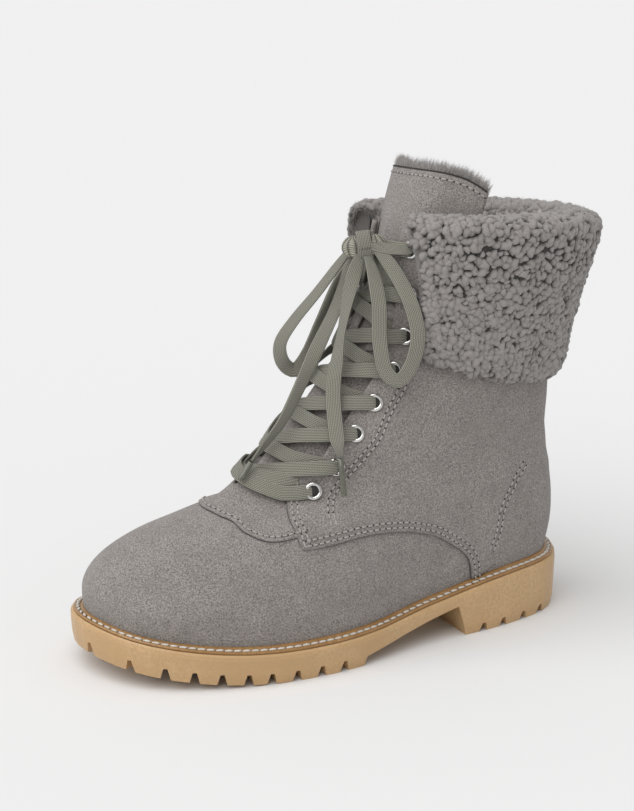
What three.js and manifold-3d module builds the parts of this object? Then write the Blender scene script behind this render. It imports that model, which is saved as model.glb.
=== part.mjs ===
// Left sheepskin boot: lug outsole, stitched welt, footbed, lasted upper with a folded wool cuff,
// tongue, eyelets and a tied flat lace.
// Millimetres. +X from heel to toe, +Y to the wearer's left (the outer side), +Z up, floor at z = 0.
import * as THREE from 'three';
import { mergeVertices } from 'three/addons/utils/BufferGeometryUtils.js';
import Module from 'manifold-3d';

const wasm = await Module();
wasm.setup();

// ---------- driving dimensions ----------
const GAP = 0.3;               // clearance between pieces that touch
const COLUMNS = 56;            // points round every closed outline, 4 for each outline row entry
const WELT_OVERHANG = 7.1;     // outsole edge to the foot of the upper
const LINED_WALL = 7;          // suede 1.6 with wool lining
const FACING_WALL = 3;         // suede with a leather facing, no wool
const FOOTBED_THICK = 8;
const TONGUE_THICK = 5;
const CUFF_LIP = 6.5;          // wool standing above the collar edge where it folds over
const SPRING_START_X = 147;    // toe spring starts at the ball
const SPRING_RATE = 13.6 / 100 ** 2;
const HEEL_BREAST_X = 41.5;
const HEEL_BREAST_TOP = [47.5, 18.2];
const TREAD_END_X = 111;       // back edge of the forefoot tread
const TREAD_END_TOP = [109.5, 5.2];
const NOTCH_DEPTH = 6;
const LACE_WIDTH = 8;
const LACE_THICK = 1.5;
const EYELET_OUTER = 4.6;
const EYELET_HOLE = 2.7;

// top edge of the outsole's side wall above the floor, before toe spring
const SOLE_TOP = [
  { x: -35, z: 30.6 }, { x: 15, z: 29 }, { x: 65, z: 22 },
  { x: 105, z: 17.2 }, { x: 147, z: 16.5 }, { x: 247, z: 16.5 },
];

// Outlines are closed curves: a back point, six stations on each side, a front point.
const STATIONS = [0.045, 0.17, 0.36, 0.58, 0.8, 0.95];   // fractions of the outline's length
const FRONT = STATIONS.length + 1;                       // outline index of the front point
const ENTRIES = 2 * FRONT;                               // outline indices run 0..ENTRIES

const SOLE = {
  backX: -35, frontX: 247, frontY: -12.5,
  lateral: [25, 37.5, 42.8, 54.6, 47.7, 25],
  medial: [25, 34.7, 29, 39.8, 53.6, 42],
};

// Sections of the last with its lining, from just above the feather line to the collar.
// sag: how much of the sole's curve the section follows; tilt: its rise towards the outer side.
const RINGS = [
  { backX: -30.5, backZ: 50, frontX: 241, frontZ: 44.5, frontY: -12, sag: 1, tilt: 0,
    lateral: [24, 34, 39, 48.5, 42, 24], medial: [24, 32.3, 30, 36.8, 47.5, 37] },
  { backX: -30, backZ: 66, frontX: 234.5, frontZ: 58, frontY: -10, sag: 0.8, tilt: 0,
    lateral: [24.8, 34.5, 39.5, 47, 38.5, 19], medial: [24.8, 33, 34, 37, 43, 30.5] },
  { backX: -28, backZ: 80, frontX: 219.5, frontZ: 68.5, frontY: -7, sag: 0.5, tilt: 0,
    lateral: [24, 33.7, 38.8, 41.7, 34.5, 16.5], medial: [24, 32.6, 34.4, 34, 32, 23] },
  { backX: -25.5, backZ: 92, frontX: 198.5, frontZ: 75.7, frontY: -4, sag: 0.2, tilt: 0,
    lateral: [22.8, 32.3, 36.8, 38.3, 29.8, 13.5], medial: [22.8, 31.7, 34, 31.5, 22.8, 16.2] },
  { backX: -24, backZ: 103, frontX: 174, frontZ: 85, frontY: -1, sag: 0, tilt: 0,
    lateral: [22.3, 31.2, 35.4, 35.3, 25, 11.5], medial: [22.3, 30.8, 33.3, 31, 20.5, 10] },
  { backX: -23.2, backZ: 115, frontX: 152.5, frontZ: 101.5, frontY: 0, sag: 0, tilt: 0,
    lateral: [21.8, 30.6, 35.1, 34.6, 27.5, 12.5], medial: [21.8, 30.4, 34, 32.8, 24.5, 10.5] },
  { backX: -23, backZ: 128, frontX: 135, frontZ: 119.5, frontY: -1, sag: 0, tilt: 0,
    lateral: [21.5, 30.8, 36, 34.8, 26, 12.5], medial: [21.5, 30.6, 35.4, 33.5, 26, 13] },
  { backX: -23, backZ: 145, frontX: 116, frontZ: 140, frontY: -2, sag: 0, tilt: 0,
    lateral: [22, 32, 38, 35.5, 25.5, 12.5], medial: [22, 31.8, 37.6, 35, 26, 13.5] },
  { backX: -24.5, backZ: 166, frontX: 98, frontZ: 162, frontY: -2, sag: 0, tilt: 0.02,
    lateral: [22, 33.5, 40.5, 38, 27.5, 14], medial: [22, 33.3, 40.2, 37.5, 27, 14] },
  { backX: -28.5, backZ: 188, frontX: 84, frontZ: 190, frontY: -2, sag: 0, tilt: 0.06,
    lateral: [22.5, 35, 43, 42, 34, 21], medial: [22.5, 34.5, 42, 39.5, 30, 17.5] },
  { backX: -35.5, backZ: 215, frontX: 76.5, frontZ: 223, frontY: -1, sag: 0, tilt: 0.11,
    lateral: [22.5, 36, 45.5, 46, 39, 27], medial: [22.5, 35.5, 43.5, 41.5, 32, 19.5] },
  { backX: -43, backZ: 240, frontX: 67, frontZ: 253, frontY: -2, sag: 0, tilt: 0.11,
    lateral: [23, 37, 46.5, 47, 40, 26], medial: [23, 36.5, 44.5, 42.5, 33, 20.5] },
];
const COLLAR = 11;             // height index of the collar edge; 0 is the feather line
const THROAT_START = 5.62;     // height index where the throat opens
const FACING_EDGE = 0.34;      // from the eyelets to the edge of the facing, in outline indices
// eyelets: height index and distance from the front point in outline indices
const EYELETS = [
  { height: 5.2, from: 2.04 }, { height: 5.95, from: 2.03 }, { height: 6.9, from: 2 },
  { height: 7.68, from: 1.98 }, { height: 8.45, from: 1.96 }, { height: 9.2, from: 1.75 },
  { height: 9.95, from: 1.35 }, { height: 10.65, from: 0.98 },
];

// folded cuff: how far its wool stands off the shaft, from hem (0) to fold (1)
const CUFF_PROFILE = [
  { h: 0, off: 4 }, { h: 0.06, off: 7 }, { h: 0.3, off: 9 }, { h: 0.65, off: 10.5 },
  { h: 0.9, off: 12 }, { h: 1, off: 11.5 },
];
const CUFF_HEM = { back: 7.65, front: 9 };       // height index of the hem
// front edge of the cuff: height index and distance from the front point in outline indices
const CUFF_EDGE = [
  { height: 7.5, from: 2.3 }, { height: 9.2, from: 2.08 }, { height: 9.95, from: 1.68 },
  { height: 10.65, from: 1.28 }, { height: 11, from: 1 },
];
const CUFF_BACK_EASE = 0.7;                      // the wool is flatter at the heel side

// flat lace, tied in a bow: routes of its centre line
const KNOT = { x: 89.5, y: 5, z: 213 };
const BOW = {
  loop_lateral: [
    [87, 15.5, 210], [82.5, 26, 202], [79.5, 36, 189], [78, 41.5, 173.5], [80.5, 41.5, 159],
    [86, 38, 149], [91.5, 33, 153], [92.5, 28, 168], [91, 24, 186], [90, 17, 201],
  ],
  loop_medial: [
    [94, -8, 203], [106, -15, 185.5], [117.5, -19, 170.5], [124.5, -21, 158.5], [124, -19, 148.5],
    [117.5, -17, 144], [111.5, -14.5, 153], [106, -12, 170.5], [100.5, -6, 191],
  ],
  end_medial: [
    [95.5, 2, 202], [98.5, -1, 189], [103, -3, 176], [110, -3, 163], [119, -0.5, 149], [129, 5, 137.5],
    [139, 8.5, 125], [149, 8.5, 114], [156, 8.5, 106.5],
  ],
  end_lateral: [
    [95.5, 7, 202], [101, 9, 187], [105.5, 11, 171], [109.5, 14, 158], [114.5, 19, 142], [117.5, 28, 124],
    [119, 36, 111],
  ],
};
const AGLETS = {
  medial: [[156.4, 8.6, 106], [163.5, 9.9, 98]],
  lateral: [[119.1, 36.4, 110.2], [120, 43, 92.5]],
};

// ---------- small tools ----------
const clamp01 = (t) => Math.min(1, Math.max(0, t));
const lerp = (a, b, t) => a + (b - a) * t;
const smooth = (a, b, t) => {
  const s = clamp01((t - a) / (b - a));
  return s * s * (3 - 2 * s);
};

// monotone cubic through the rows of a table
function tableCurve(rows, xName, yName) {
  const x = rows.map((row) => row[xName]);
  const y = rows.map((row) => row[yName]);
  const slope = x.slice(1).map((_, i) => (y[i + 1] - y[i]) / (x[i + 1] - x[i]));
  const tangent = x.map((_, i) => {
    const before = slope[i - 1];
    const after = slope[i];
    if (before === undefined) return after;
    if (after === undefined) return before;
    return before * after <= 0 ? 0 : (2 * before * after) / (before + after);
  });
  return (at) => {
    const i = Math.min(Math.max(x.findIndex((value) => value > at), 1), x.length - 1) - 1;
    const last = at >= x[x.length - 1] ? x.length - 2 : i;
    const width = x[last + 1] - x[last];
    const t = clamp01((at - x[last]) / width);
    const a = y[last] * (1 + 2 * t) * (1 - t) ** 2 + y[last + 1] * t * t * (3 - 2 * t);
    return a + width * (tangent[last] * t * (1 - t) ** 2 - tangent[last + 1] * t * t * (1 - t));
  };
}

// a closed body from triangles, turned to face outwards
function bodyGeometry(points, triangles) {
  let volume = 0;
  for (const [a, b, c] of triangles) volume += points[a].dot(points[b].clone().cross(points[c]));
  const order = volume < 0 ? ([a, b, c]) => [a, c, b] : (t) => t;
  const geometry = new THREE.BufferGeometry();
  geometry.setAttribute('position', new THREE.Float32BufferAttribute(points.flatMap((p) => p.toArray()), 3));
  geometry.setIndex(triangles.flatMap(order));
  return geometry;
}

// joins rows of equal length into a skin; closed rows wrap round
function skin(rows, triangles, offsets, wrap) {
  for (let r = 0; r + 1 < rows; r += 1) {
    const low = offsets(r);
    const high = offsets(r + 1);
    const count = wrap ? low.length : low.length - 1;
    for (let i = 0; i < count; i += 1) {
      const j = (i + 1) % low.length;
      triangles.push([low[i], low[j], high[i]], [low[j], high[j], high[i]]);
    }
  }
}

// rings of points: each loop is joined to the next, and the last back to the first
function tubeOfLoops(loops) {
  const points = loops.flat();
  const size = loops[0].length;
  const triangles = [];
  const indices = (r) => loops[0].map((_, i) => (r % loops.length) * size + i);
  skin(loops.length + 1, triangles, indices, true);
  return bodyGeometry(points, triangles);
}

// rings of points closed by ladders across the first and the last loop
function cappedLoops(loops) {
  const points = loops.flat();
  const size = loops[0].length;
  const triangles = [];
  skin(loops.length, triangles, (r) => loops[0].map((_, i) => r * size + i), true);
  for (const [base, flip] of [[0, true], [(loops.length - 1) * size, false]]) {
    for (let i = 0; i < size / 2; i += 1) {
      const a = base + i;
      const b = base + i + 1;
      const c = base + ((size - i) % size);
      const d = base + size - i - 1;
      const pair = [];
      if (a !== c) pair.push([a, b, c]);
      if (b !== d) pair.push([b, d, c]);
      triangles.push(...(flip ? pair.map(([p, q, r]) => [p, r, q]) : pair));
    }
  }
  return bodyGeometry(points, triangles);
}

// a solid sheet: two grids of points with their edges joined
function sheetSolid(outer, inner) {
  const rows = outer.length;
  const columns = outer[0].length;
  const points = [...outer.flat(), ...inner.flat()];
  const triangles = [];
  const under = rows * columns;
  skin(rows, triangles, (r) => outer[0].map((_, i) => r * columns + i), false);
  const back = [];
  skin(rows, back, (r) => outer[0].map((_, i) => under + r * columns + i), false);
  triangles.push(...back.map(([a, b, c]) => [a, c, b]));
  const rim = [];
  for (let i = 0; i < columns; i += 1) rim.push(i);
  for (let r = 1; r < rows; r += 1) rim.push(r * columns + columns - 1);
  for (let i = columns - 2; i >= 0; i -= 1) rim.push((rows - 1) * columns + i);
  for (let r = rows - 2; r > 0; r -= 1) rim.push(r * columns);
  rim.forEach((a, i) => {
    const b = rim[(i + 1) % rim.length];
    triangles.push([a, under + a, b], [b, under + a, under + b]);
  });
  return bodyGeometry(points, triangles);
}

function toManifold(geometry) {
  const plain = geometry.clone();
  plain.deleteAttribute('normal');
  plain.deleteAttribute('uv');
  const merged = mergeVertices(plain, 1e-4);
  return new wasm.Manifold(new wasm.Mesh({
    numProp: 3,
    vertProperties: new Float32Array(merged.attributes.position.array),
    triVerts: new Uint32Array(merged.index.array),
  }));
}

function toGeometry(manifold) {
  const mesh = manifold.getMesh();
  const geometry = new THREE.BufferGeometry();
  geometry.setAttribute('position', new THREE.BufferAttribute(new Float32Array(mesh.vertProperties), 3));
  geometry.setIndex(new THREE.BufferAttribute(new Uint32Array(mesh.triVerts), 1));
  return geometry;
}

const cut = (geometry, cutters) => toGeometry(
  cutters.reduce((solid, cutter) => solid.subtract(toManifold(cutter)), toManifold(geometry)),
);
const join = (geometries) => toGeometry(
  geometries.slice(1).reduce((solid, piece) => solid.add(toManifold(piece)), toManifold(geometries[0])),
);

const boot = new THREE.Group();
function addMesh(name, geometry, color, roughness = 0.9, metalness = 0) {
  const material = new THREE.MeshStandardMaterial({ color, roughness, metalness });
  const mesh = new THREE.Mesh(geometry, material);
  mesh.name = name;
  boot.add(mesh);
  return mesh;
}

// ---------- outlines and the last ----------
const soleTable = tableCurve(SOLE_TOP, 'x', 'z');
const spring = (x) => SPRING_RATE * Math.max(0, x - SPRING_START_X) ** 2;
const soleTop = (x) => soleTable(x) + spring(x);

function outlineCurve(row) {
  const length = row.frontX - row.backX;
  const side = (widths, sign) => STATIONS.map(
    (s, i) => new THREE.Vector3(row.backX + s * length, sign * widths[i], 0),
  );
  const points = [
    new THREE.Vector3(row.backX, 0, 0), ...side(row.lateral, 1),
    new THREE.Vector3(row.frontX, row.frontY, 0), ...side(row.medial, -1).reverse(),
  ];
  return new THREE.CatmullRomCurve3(points, true, 'centripetal');
}

const wrapIndex = (index) => ((index % ENTRIES) + ENTRIES) % ENTRIES / ENTRIES;
const soleCurve = outlineCurve(SOLE);

// a point of the sole outline moved inwards
function solePoint(index, inset = 0) {
  const step = 0.01;
  const point = soleCurve.getPoint(wrapIndex(index));
  const ahead = soleCurve.getPoint(wrapIndex(index + step));
  const behind = soleCurve.getPoint(wrapIndex(index - step));
  const along = ahead.sub(behind).normalize();
  return new THREE.Vector3(point.x + along.y * inset, point.y - along.x * inset, 0);
}

const ringCurves = RINGS.map(outlineCurve);

function ringPoint(ring, index) {
  if (ring === 0) {
    const foot = solePoint(index, WELT_OVERHANG);
    return foot.setZ(soleTop(foot.x) + GAP);
  }
  const row = RINGS[ring - 1];
  const point = ringCurves[ring - 1].getPoint(wrapIndex(index));
  const s = (point.x - row.backX) / (row.frontX - row.backX);
  const chord = lerp(soleTop(row.backX), soleTop(row.frontX), s);
  const level = lerp(row.backZ, row.frontZ, s) + row.sag * (soleTop(point.x) - chord);
  return point.setZ(level + row.tilt * point.y);
}

// a point of the lasted surface: outline index and height index
function lastPoint(index, height) {
  const level = Math.min(Math.floor(height), RINGS.length - 1);
  const t = height - level;
  const at = (k) => ringPoint(Math.min(Math.max(k, 0), RINGS.length), index);
  const [p0, p1, p2, p3] = [at(level - 1), at(level), at(level + 1), at(level + 2)];
  const blend = [
    -0.5 * t + t * t - 0.5 * t ** 3, 1 - 2.5 * t * t + 1.5 * t ** 3,
    0.5 * t + 2 * t * t - 1.5 * t ** 3, -0.5 * t * t + 0.5 * t ** 3,
  ];
  return p0.multiplyScalar(blend[0]).addScaledVector(p1, blend[1])
    .addScaledVector(p2, blend[2]).addScaledVector(p3, blend[3]);
}

function lastNormal(index, height) {
  const step = 0.05;
  const low = Math.max(0, height - step);
  const round = lastPoint(index + step, height).sub(lastPoint(index - step, height));
  const up = lastPoint(index, height + step).sub(lastPoint(index, low));
  return up.cross(round).normalize();
}

// a point off the lasted surface; at the feather line it moves level
function offLast(index, height, distance) {
  const normal = lastNormal(index, height);
  if (height === 0) normal.setZ(0).normalize();
  return lastPoint(index, height).addScaledVector(normal, distance);
}

const fromFront = (index) => Math.abs(wrapIndex(index) * ENTRIES - FRONT);

// the wall is thin and without wool on the facings
function wallAt(index, height) {
  const facing = (1 - smooth(2.6, 3.4, fromFront(index))) * smooth(4.4, 5.2, height);
  return lerp(LINED_WALL, FACING_WALL, facing);
}

const columnIndices = Array.from({ length: COLUMNS }, (_, i) => (i / COLUMNS) * ENTRIES);
const steps = (from, to, count) => Array.from({ length: count + 1 }, (_, i) => lerp(from, to, i / count));

// ---------- outsole ----------
function soleLoop(inset, heightAt) {
  return columnIndices.map((index) => {
    const point = solePoint(index, inset);
    return point.setZ(heightAt(point.x));
  });
}

// a prism across the sole with a side-view outline
function crossPrism(outline, halfWidth = 90) {
  const shape = new THREE.Shape(outline.map(([x, z]) => new THREE.Vector2(x, z)));
  const geometry = new THREE.ExtrudeGeometry(shape, { depth: 2 * halfWidth, bevelEnabled: false });
  return geometry.rotateX(Math.PI / 2).translate(0, halfWidth, 0);
}

// a groove with sloped walls: open below, along +X of its own frame from 0 to length
function grooveCutter(length, depth, widthBelow, widthAbove) {
  const below = 2;
  const flare = (widthBelow - widthAbove) / depth;
  const foot = widthBelow + flare * below;
  const shape = new THREE.Shape([
    new THREE.Vector2(-foot / 2, -below), new THREE.Vector2(foot / 2, -below),
    new THREE.Vector2(widthAbove / 2, depth), new THREE.Vector2(-widthAbove / 2, depth),
  ]);
  const geometry = new THREE.ExtrudeGeometry(shape, { depth: length, bevelEnabled: false });
  return geometry.rotateX(Math.PI / 2).rotateZ(Math.PI / 2);
}

// outline index on one side (+1 lateral, -1 medial) at a distance along the edge from a start index
function indexAlongEdge(start, direction, distance) {
  const step = 0.01;
  let index = start;
  let travelled = 0;
  while (travelled < distance) {
    travelled += solePoint(index).distanceTo(solePoint(index + direction * step));
    index += direction * step;
  }
  return index;
}

function notchAt(index, reach, depth) {
  const outside = solePoint(index, -4);
  const inside = solePoint(index, reach);
  const inward = inside.clone().sub(outside);
  const edge = solePoint(index);
  const cutter = grooveCutter(inward.length(), depth, 5.4, 2.2);
  const tilt = Math.atan2(spring(inside.x) - spring(outside.x), inward.length());
  cutter.rotateY(-tilt).rotateZ(Math.atan2(inward.y, inward.x));
  return cutter.translate(outside.x, outside.y, spring(edge.x) - (spring(inside.x) - spring(outside.x)) * 0.2);
}

function treadBar(x, y, angle, length, depth, width) {
  const cutter = grooveCutter(length, depth, width + 1.4, width);
  return cutter.translate(-length / 2, 0, 0).rotateZ(angle).translate(x, y, spring(x));
}

function channelRing(indexFrom, indexTo, inset, width, depth) {
  const indices = steps(indexFrom, indexTo, 18);
  const row = (distance, z) => indices.map((index) => {
    const point = solePoint(index, distance);
    return point.setZ(spring(point.x) + z);
  });
  const half = width / 2;
  const low = [row(inset - half - 0.5, -2), row(inset + half + 0.5, -2)];
  const high = [row(inset - half + 0.4, depth), row(inset + half - 0.4, depth)];
  return sheetSolid(low, high);
}

const HEEL_NOTCHES = [11.5, 25.5, 41, 55];                 // along the edge from the heel breast
const TOE_NOTCHES = [13, 40, 59, 74, 88, 102, 115, 129, 143, 157];  // along the edge from the toe

function edgeIndexAtX(x, from, to) {
  const direction = Math.sign(to - from);
  let index = from;
  while ((solePoint(index).x - x) * Math.sign(solePoint(to).x - solePoint(from).x) < 0) {
    index += direction * 0.005;
  }
  return index;
}

function makeOutsole() {
  const body = cappedLoops([
    soleLoop(1.6, (x) => spring(x)),
    soleLoop(0.5, (x) => spring(x) + 5),
    soleLoop(0, (x) => soleTop(x) - 3),
    soleLoop(0.3, (x) => soleTop(x) - 0.9),
    soleLoop(1.3, soleTop),
  ]);
  const arch = crossPrism([
    [HEEL_BREAST_X - 0.7, -2], HEEL_BREAST_TOP, TREAD_END_TOP, [TREAD_END_X + 0.5, -2],
  ]);
  const cutters = [arch];
  for (const side of [1, -1]) {
    const breast = edgeIndexAtX(HEEL_BREAST_X, 0, side * FRONT);
    for (const distance of HEEL_NOTCHES) {
      cutters.push(notchAt(indexAlongEdge(breast, -side, distance), 13, NOTCH_DEPTH - 1));
    }
    for (const distance of TOE_NOTCHES) {
      cutters.push(notchAt(indexAlongEdge(FRONT, -side, distance), 15, NOTCH_DEPTH));
    }
  }
  cutters.push(channelRing(3.55, 10.45, 15, 3.4, 5));
  cutters.push(channelRing(-1.85, 1.85, 13.5, 3, 4.5));
  for (const x of [128, 148, 168, 188, 208]) {
    const drift = -0.07 * (x - 124);
    cutters.push(treadBar(x + 3, 13 + drift, 1.25, 36, 5, 3));
    cutters.push(treadBar(x + 3, -13 + drift, -1.25, 36, 5, 3));
  }
  for (const x of [-12, 12]) cutters.push(treadBar(x, 0, Math.PI / 2, 44, 4.5, 3));
  return cut(body, cutters);
}

// ---------- welt ----------
// cross-section: outer rows go by distance in from the outsole's edge and height above its top,
// inner rows follow the foot of the upper
const WELT_SECTION = [
  { inset: 1.7, rise: 0.3 }, { inset: 1.7, rise: 1.3 }, { inset: 3.8, rise: 1.7 },
  { off: 2.3, height: 0.2 }, { off: 1.3, height: 0.27 }, { off: 0.5, height: 0.2 }, { off: 0.5, height: 0 },
];
const makeWelt = () => tubeOfLoops(WELT_SECTION.map((row) => (row.off === undefined
  ? soleLoop(row.inset, (x) => soleTop(x) + row.rise)
  : lastLoop(row.height, () => row.off))));

// ---------- upper ----------
function lastLoop(height, distanceAt) {
  return columnIndices.map((index) => offLast(index, height, distanceAt(index, height)));
}

const eyeletLine = tableCurve(EYELETS, 'height', 'from');
const throatHalf = (height) => eyeletLine(height) - FACING_EDGE;

function throatCutter() {
  const heights = [THROAT_START, 5.72, 5.95, ...steps(6.3, COLLAR + 0.9, 9)];
  const half = (height) => throatHalf(height) * Math.sqrt(clamp01((height - THROAT_START + 0.03) / 0.5));
  const grid = (distance) => heights.map((height) => steps(-1, 1, 6).map(
    (side) => offLast(FRONT + side * half(height), height, distance),
  ));
  return sheetSolid(grid(9), grid(-11));
}

function makeUpper() {
  const outerHeights = [0, 0.5, 1, 1.6, 2.2, 2.8, 3.4, 4, 4.6, 5.2, 5.8, 6.5, 7.3, 8.1, 9, 10, COLLAR];
  const innerHeights = [COLLAR, 9.5, 8, 6.8, 5.8, 4.8, 3.8, 2.6, 1.3, 0];
  const outer = outerHeights.map((height) => lastLoop(height, () => 0));
  const inner = innerHeights.map((height) => lastLoop(height, (index, at) => -wallAt(index, at)));
  return cut(tubeOfLoops([...outer, ...inner]), [throatCutter()]);
}

// ---------- footbed ----------
function makeFootbed() {
  const inset = WELT_OVERHANG + LINED_WALL + 3 * GAP;
  return cappedLoops([
    soleLoop(inset, (x) => soleTop(x) + GAP),
    soleLoop(inset, (x) => soleTop(x) + FOOTBED_THICK * 0.6),
    soleLoop(inset + 4, (x) => soleTop(x) + FOOTBED_THICK),
  ]);
}

// ---------- cuff ----------
const cuffOff = tableCurve(CUFF_PROFILE, 'h', 'off');
const cuffHem = (side) => lerp(CUFF_HEM.back, CUFF_HEM.front, smooth(1.6, 6.2, Math.abs(side)));
const cuffFront = tableCurve(CUFF_EDGE, 'height', 'from');
// outline index of a cuff column, q from -1 at one front edge to 1 at the other
const cuffSide = (q, height) => q * (FRONT - cuffFront(height));

function makeCuff() {
  const sides = steps(-1, 1, 26);
  const point = (q, h, distance) => {
    const height = lerp(cuffHem(q * (FRONT - 2)), COLLAR, h);
    return offLast(cuffSide(q, height), height, distance);
  };
  const levels = [0, 0.06, 0.25, 0.5, 0.75, 1];
  const ease = (q, h) => lerp(lerp(CUFF_BACK_EASE, 1, smooth(0.05, 0.45, Math.abs(q))), 1, h);
  const outer = levels.map((h) => sides.map((q) => point(q, h, cuffOff(h) * ease(q, h))));
  // over the collar edge; a negative distance is a share of the wall
  const lip = (distance, rise) => sides.map((q) => {
    const index = cuffSide(q, COLLAR);
    const out = distance < 0 ? distance * wallAt(index, COLLAR) : distance;
    return offLast(index, COLLAR, out).add(new THREE.Vector3(0, 0, rise));
  });
  outer.push(lip(9.5, CUFF_LIP * 0.7), lip(4, CUFF_LIP), lip(-0.4, CUFF_LIP * 0.85), lip(-0.9, 3));
  const inner = [0.03, 0.06, 0.25, 0.5, 0.75, 0.97].map((h) => sides.map((q) => point(q, h, 1.2)));
  inner.push(lip(1.2, 0.9), lip(1, 1.4), lip(-0.4, 1.7), lip(-0.85, 1.6));
  return sheetSolid(outer, inner);
}

// ---------- tongue ----------
const TONGUE_TOP = 11.95;
function makeTongue() {
  const heights = [5.9, 6.15, 6.5, ...steps(7, TONGUE_TOP, 9)];
  const halfAt = (height) => lerp(1.05, 2.45, smooth(5.7, 8.2, height));
  const across = steps(-1, 1, 10);
  const grid = (extra) => heights.map((height) => across.map((q) => {
    const droop = 0.42 * Math.abs(q) ** 3 * smooth(11.2, TONGUE_TOP, height);
    const index = FRONT + q * halfAt(height);
    const at = height - droop;
    return offLast(index, at, -wallAt(index, Math.min(at, COLLAR)) - 0.6 - extra);
  }));
  return sheetSolid(grid(0), grid(TONGUE_THICK));
}

// ---------- lace keeper ----------
// a short upright strip stitched on the middle of the tongue
function makeKeeper() {
  const heights = [9.1, 9.35, 9.65, 9.95, 10.2];
  const grid = (distance) => heights.map((height) => [-0.26, 0.26].map(
    (side) => offLast(FRONT + side, height, -FACING_WALL - 0.6 + distance),
  ));
  return sheetSolid(grid(2.2), grid(0.9));
}

// ---------- eyelets ----------
function eyeletGeometry() {
  const profile = [
    [EYELET_HOLE, 0.35], [EYELET_OUTER, 0.35], [EYELET_OUTER - 0.5, 1.1], [EYELET_HOLE + 0.4, 1.4],
  ];
  const points = [...profile, profile[0]].map(([radius, z]) => new THREE.Vector2(radius, z));
  return new THREE.LatheGeometry(points, 8).rotateX(Math.PI / 2);
}

function placeOnLast(mesh, index, height, distance) {
  const normal = lastNormal(index, height);
  mesh.quaternion.setFromUnitVectors(new THREE.Vector3(0, 0, 1), normal);
  mesh.position.copy(offLast(index, height, distance));
}

// ---------- lace ----------
const vector = ([x, y, z]) => new THREE.Vector3(x, y, z);

// a flat strip along stations [from front, height, distance off the last]
function laceStrip(stations, width = LACE_WIDTH) {
  const centres = stations.map(([from, height, off]) => offLast(FRONT + from, height, off));
  const grid = (lift) => centres.map((centre, i) => {
    const [from, height] = stations[i];
    const normal = lastNormal(FRONT + from, height);
    const along = centres[Math.min(i + 1, centres.length - 1)].clone().sub(centres[Math.max(i - 1, 0)]);
    const across = along.cross(normal).normalize();
    return [-0.5, 0.5].map((side) => centre.clone().addScaledVector(across, side * width)
      .addScaledVector(normal, lift));
  });
  return sheetSolid(grid(LACE_THICK / 2), grid(-LACE_THICK / 2));
}

const OVER = 2.6;              // a lace on a facing, off the last
const REACH = 0.3;             // a strip stops this short of the eyelet's centre, in outline indices

// the strip from the inside of one facing up to the next eyelet of the other side
function risingStrip(row, side) {
  const low = EYELETS[row];
  const high = EYELETS[row + 1];
  const mid = (low.height + high.height) / 2;
  const edge = throatHalf(low.height) - (row === 1 ? 0.6 : 0.3);
  const top = high.height - (row + 2 === EYELETS.length ? 0.1 : 0);
  const crossing = [-side * 0.5 * high.from, lerp(mid, high.height, 0.5), 2.2 + side * 0.2];
  const finish = [-side * (high.from - REACH), top, OVER];
  // the throat is still closed beside the lowest eyelets, so the first strip starts on top
  if (row === 0) {
    return laceStrip([
      [side * edge, 5.68, 3.2], [side * 0.5 * edge, 5.72, 3.4], [0, 5.77, 3.3 + side * 0.1], crossing, finish,
    ], LACE_WIDTH * 0.85);
  }
  return laceStrip([
    [side * edge, lerp(low.height, mid, 0.3), -0.5],
    [side * 0.4 * edge, lerp(low.height, mid, 0.85), 1.9],
    crossing,
    finish,
  ]);
}

const makeLaceBar = () => laceStrip([-1, -0.5, 0, 0.5, 1].map(
  (q) => [q * (EYELETS[0].from - REACH), EYELETS[0].height - 0.04, OVER],
), LACE_WIDTH * 0.85);

// from the top eyelets to the knot
function makeLaceTop() {
  const row = EYELETS[EYELETS.length - 1];
  return laceStrip([-1, -0.5, 0, 0.5, 1].map(
    (q) => [q * (row.from - REACH), row.height + 0.17, OVER],
  ), LACE_WIDTH * 0.75);
}

function tubeAlong(points, radius, spacing, sides = 8) {
  const curve = new THREE.CatmullRomCurve3(points.map(vector), false, 'centripetal');
  const outline = new THREE.Shape(Array.from({ length: sides }, (_, i) => {
    const angle = (2 * Math.PI * i) / sides;
    return new THREE.Vector2(radius * Math.cos(angle), radius * Math.sin(angle));
  }));
  const count = Math.max(1, Math.round(curve.getLength() / spacing));
  return new THREE.ExtrudeGeometry(outline, { steps: count, extrudePath: curve, bevelEnabled: false });
}

function makeKnot() {
  return new THREE.SphereGeometry(1, 10, 6).scale(5, 8.5, 7.5).translate(KNOT.x, KNOT.y, KNOT.z);
}

addMesh('outsole', makeOutsole(), 0xc8a57d, 0.6);
addMesh('welt', makeWelt(), 0xa9814f, 0.5);
addMesh('insole', makeFootbed(), 0x9b958f);
addMesh('upper', makeUpper(), 0x938d88);
addMesh('cuff', makeCuff(), 0x8f8a85);
addMesh('tongue', makeTongue(), 0x938d88);
addMesh('lace_keeper', makeKeeper(), 0x8a847f);
EYELETS.forEach(({ height, from }, row) => {
  for (const [side, sign] of [['lateral', -1], ['medial', 1]]) {
    const mesh = addMesh(`eyelet_${side}_${row + 1}`, eyeletGeometry(), 0xc9c9c6, 0.25, 1);
    placeOnLast(mesh, FRONT + sign * from, height, row === 0 ? 1.4 : 0.8);
  }
});
addMesh('lace_bar', makeLaceBar(), 0x767668);
for (let row = 0; row + 1 < EYELETS.length; row += 1) {
  addMesh(`lace_cross_${row + 1}`, join([risingStrip(row, 1), risingStrip(row, -1)]), 0x767668);
}
addMesh('lace_top', makeLaceTop(), 0x767668);
addMesh('lace_knot', makeKnot(), 0x767668);
for (const [name, route] of Object.entries(BOW)) {
  addMesh(`lace_${name}`, tubeAlong(route, 2.2, 11), 0x767668);
}
for (const [side, route] of Object.entries(AGLETS)) {
  addMesh(`aglet_${side}`, tubeAlong(route, 1.5, 30, 6), 0x6a6a5e, 0.4);
}

export default boot;
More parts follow.
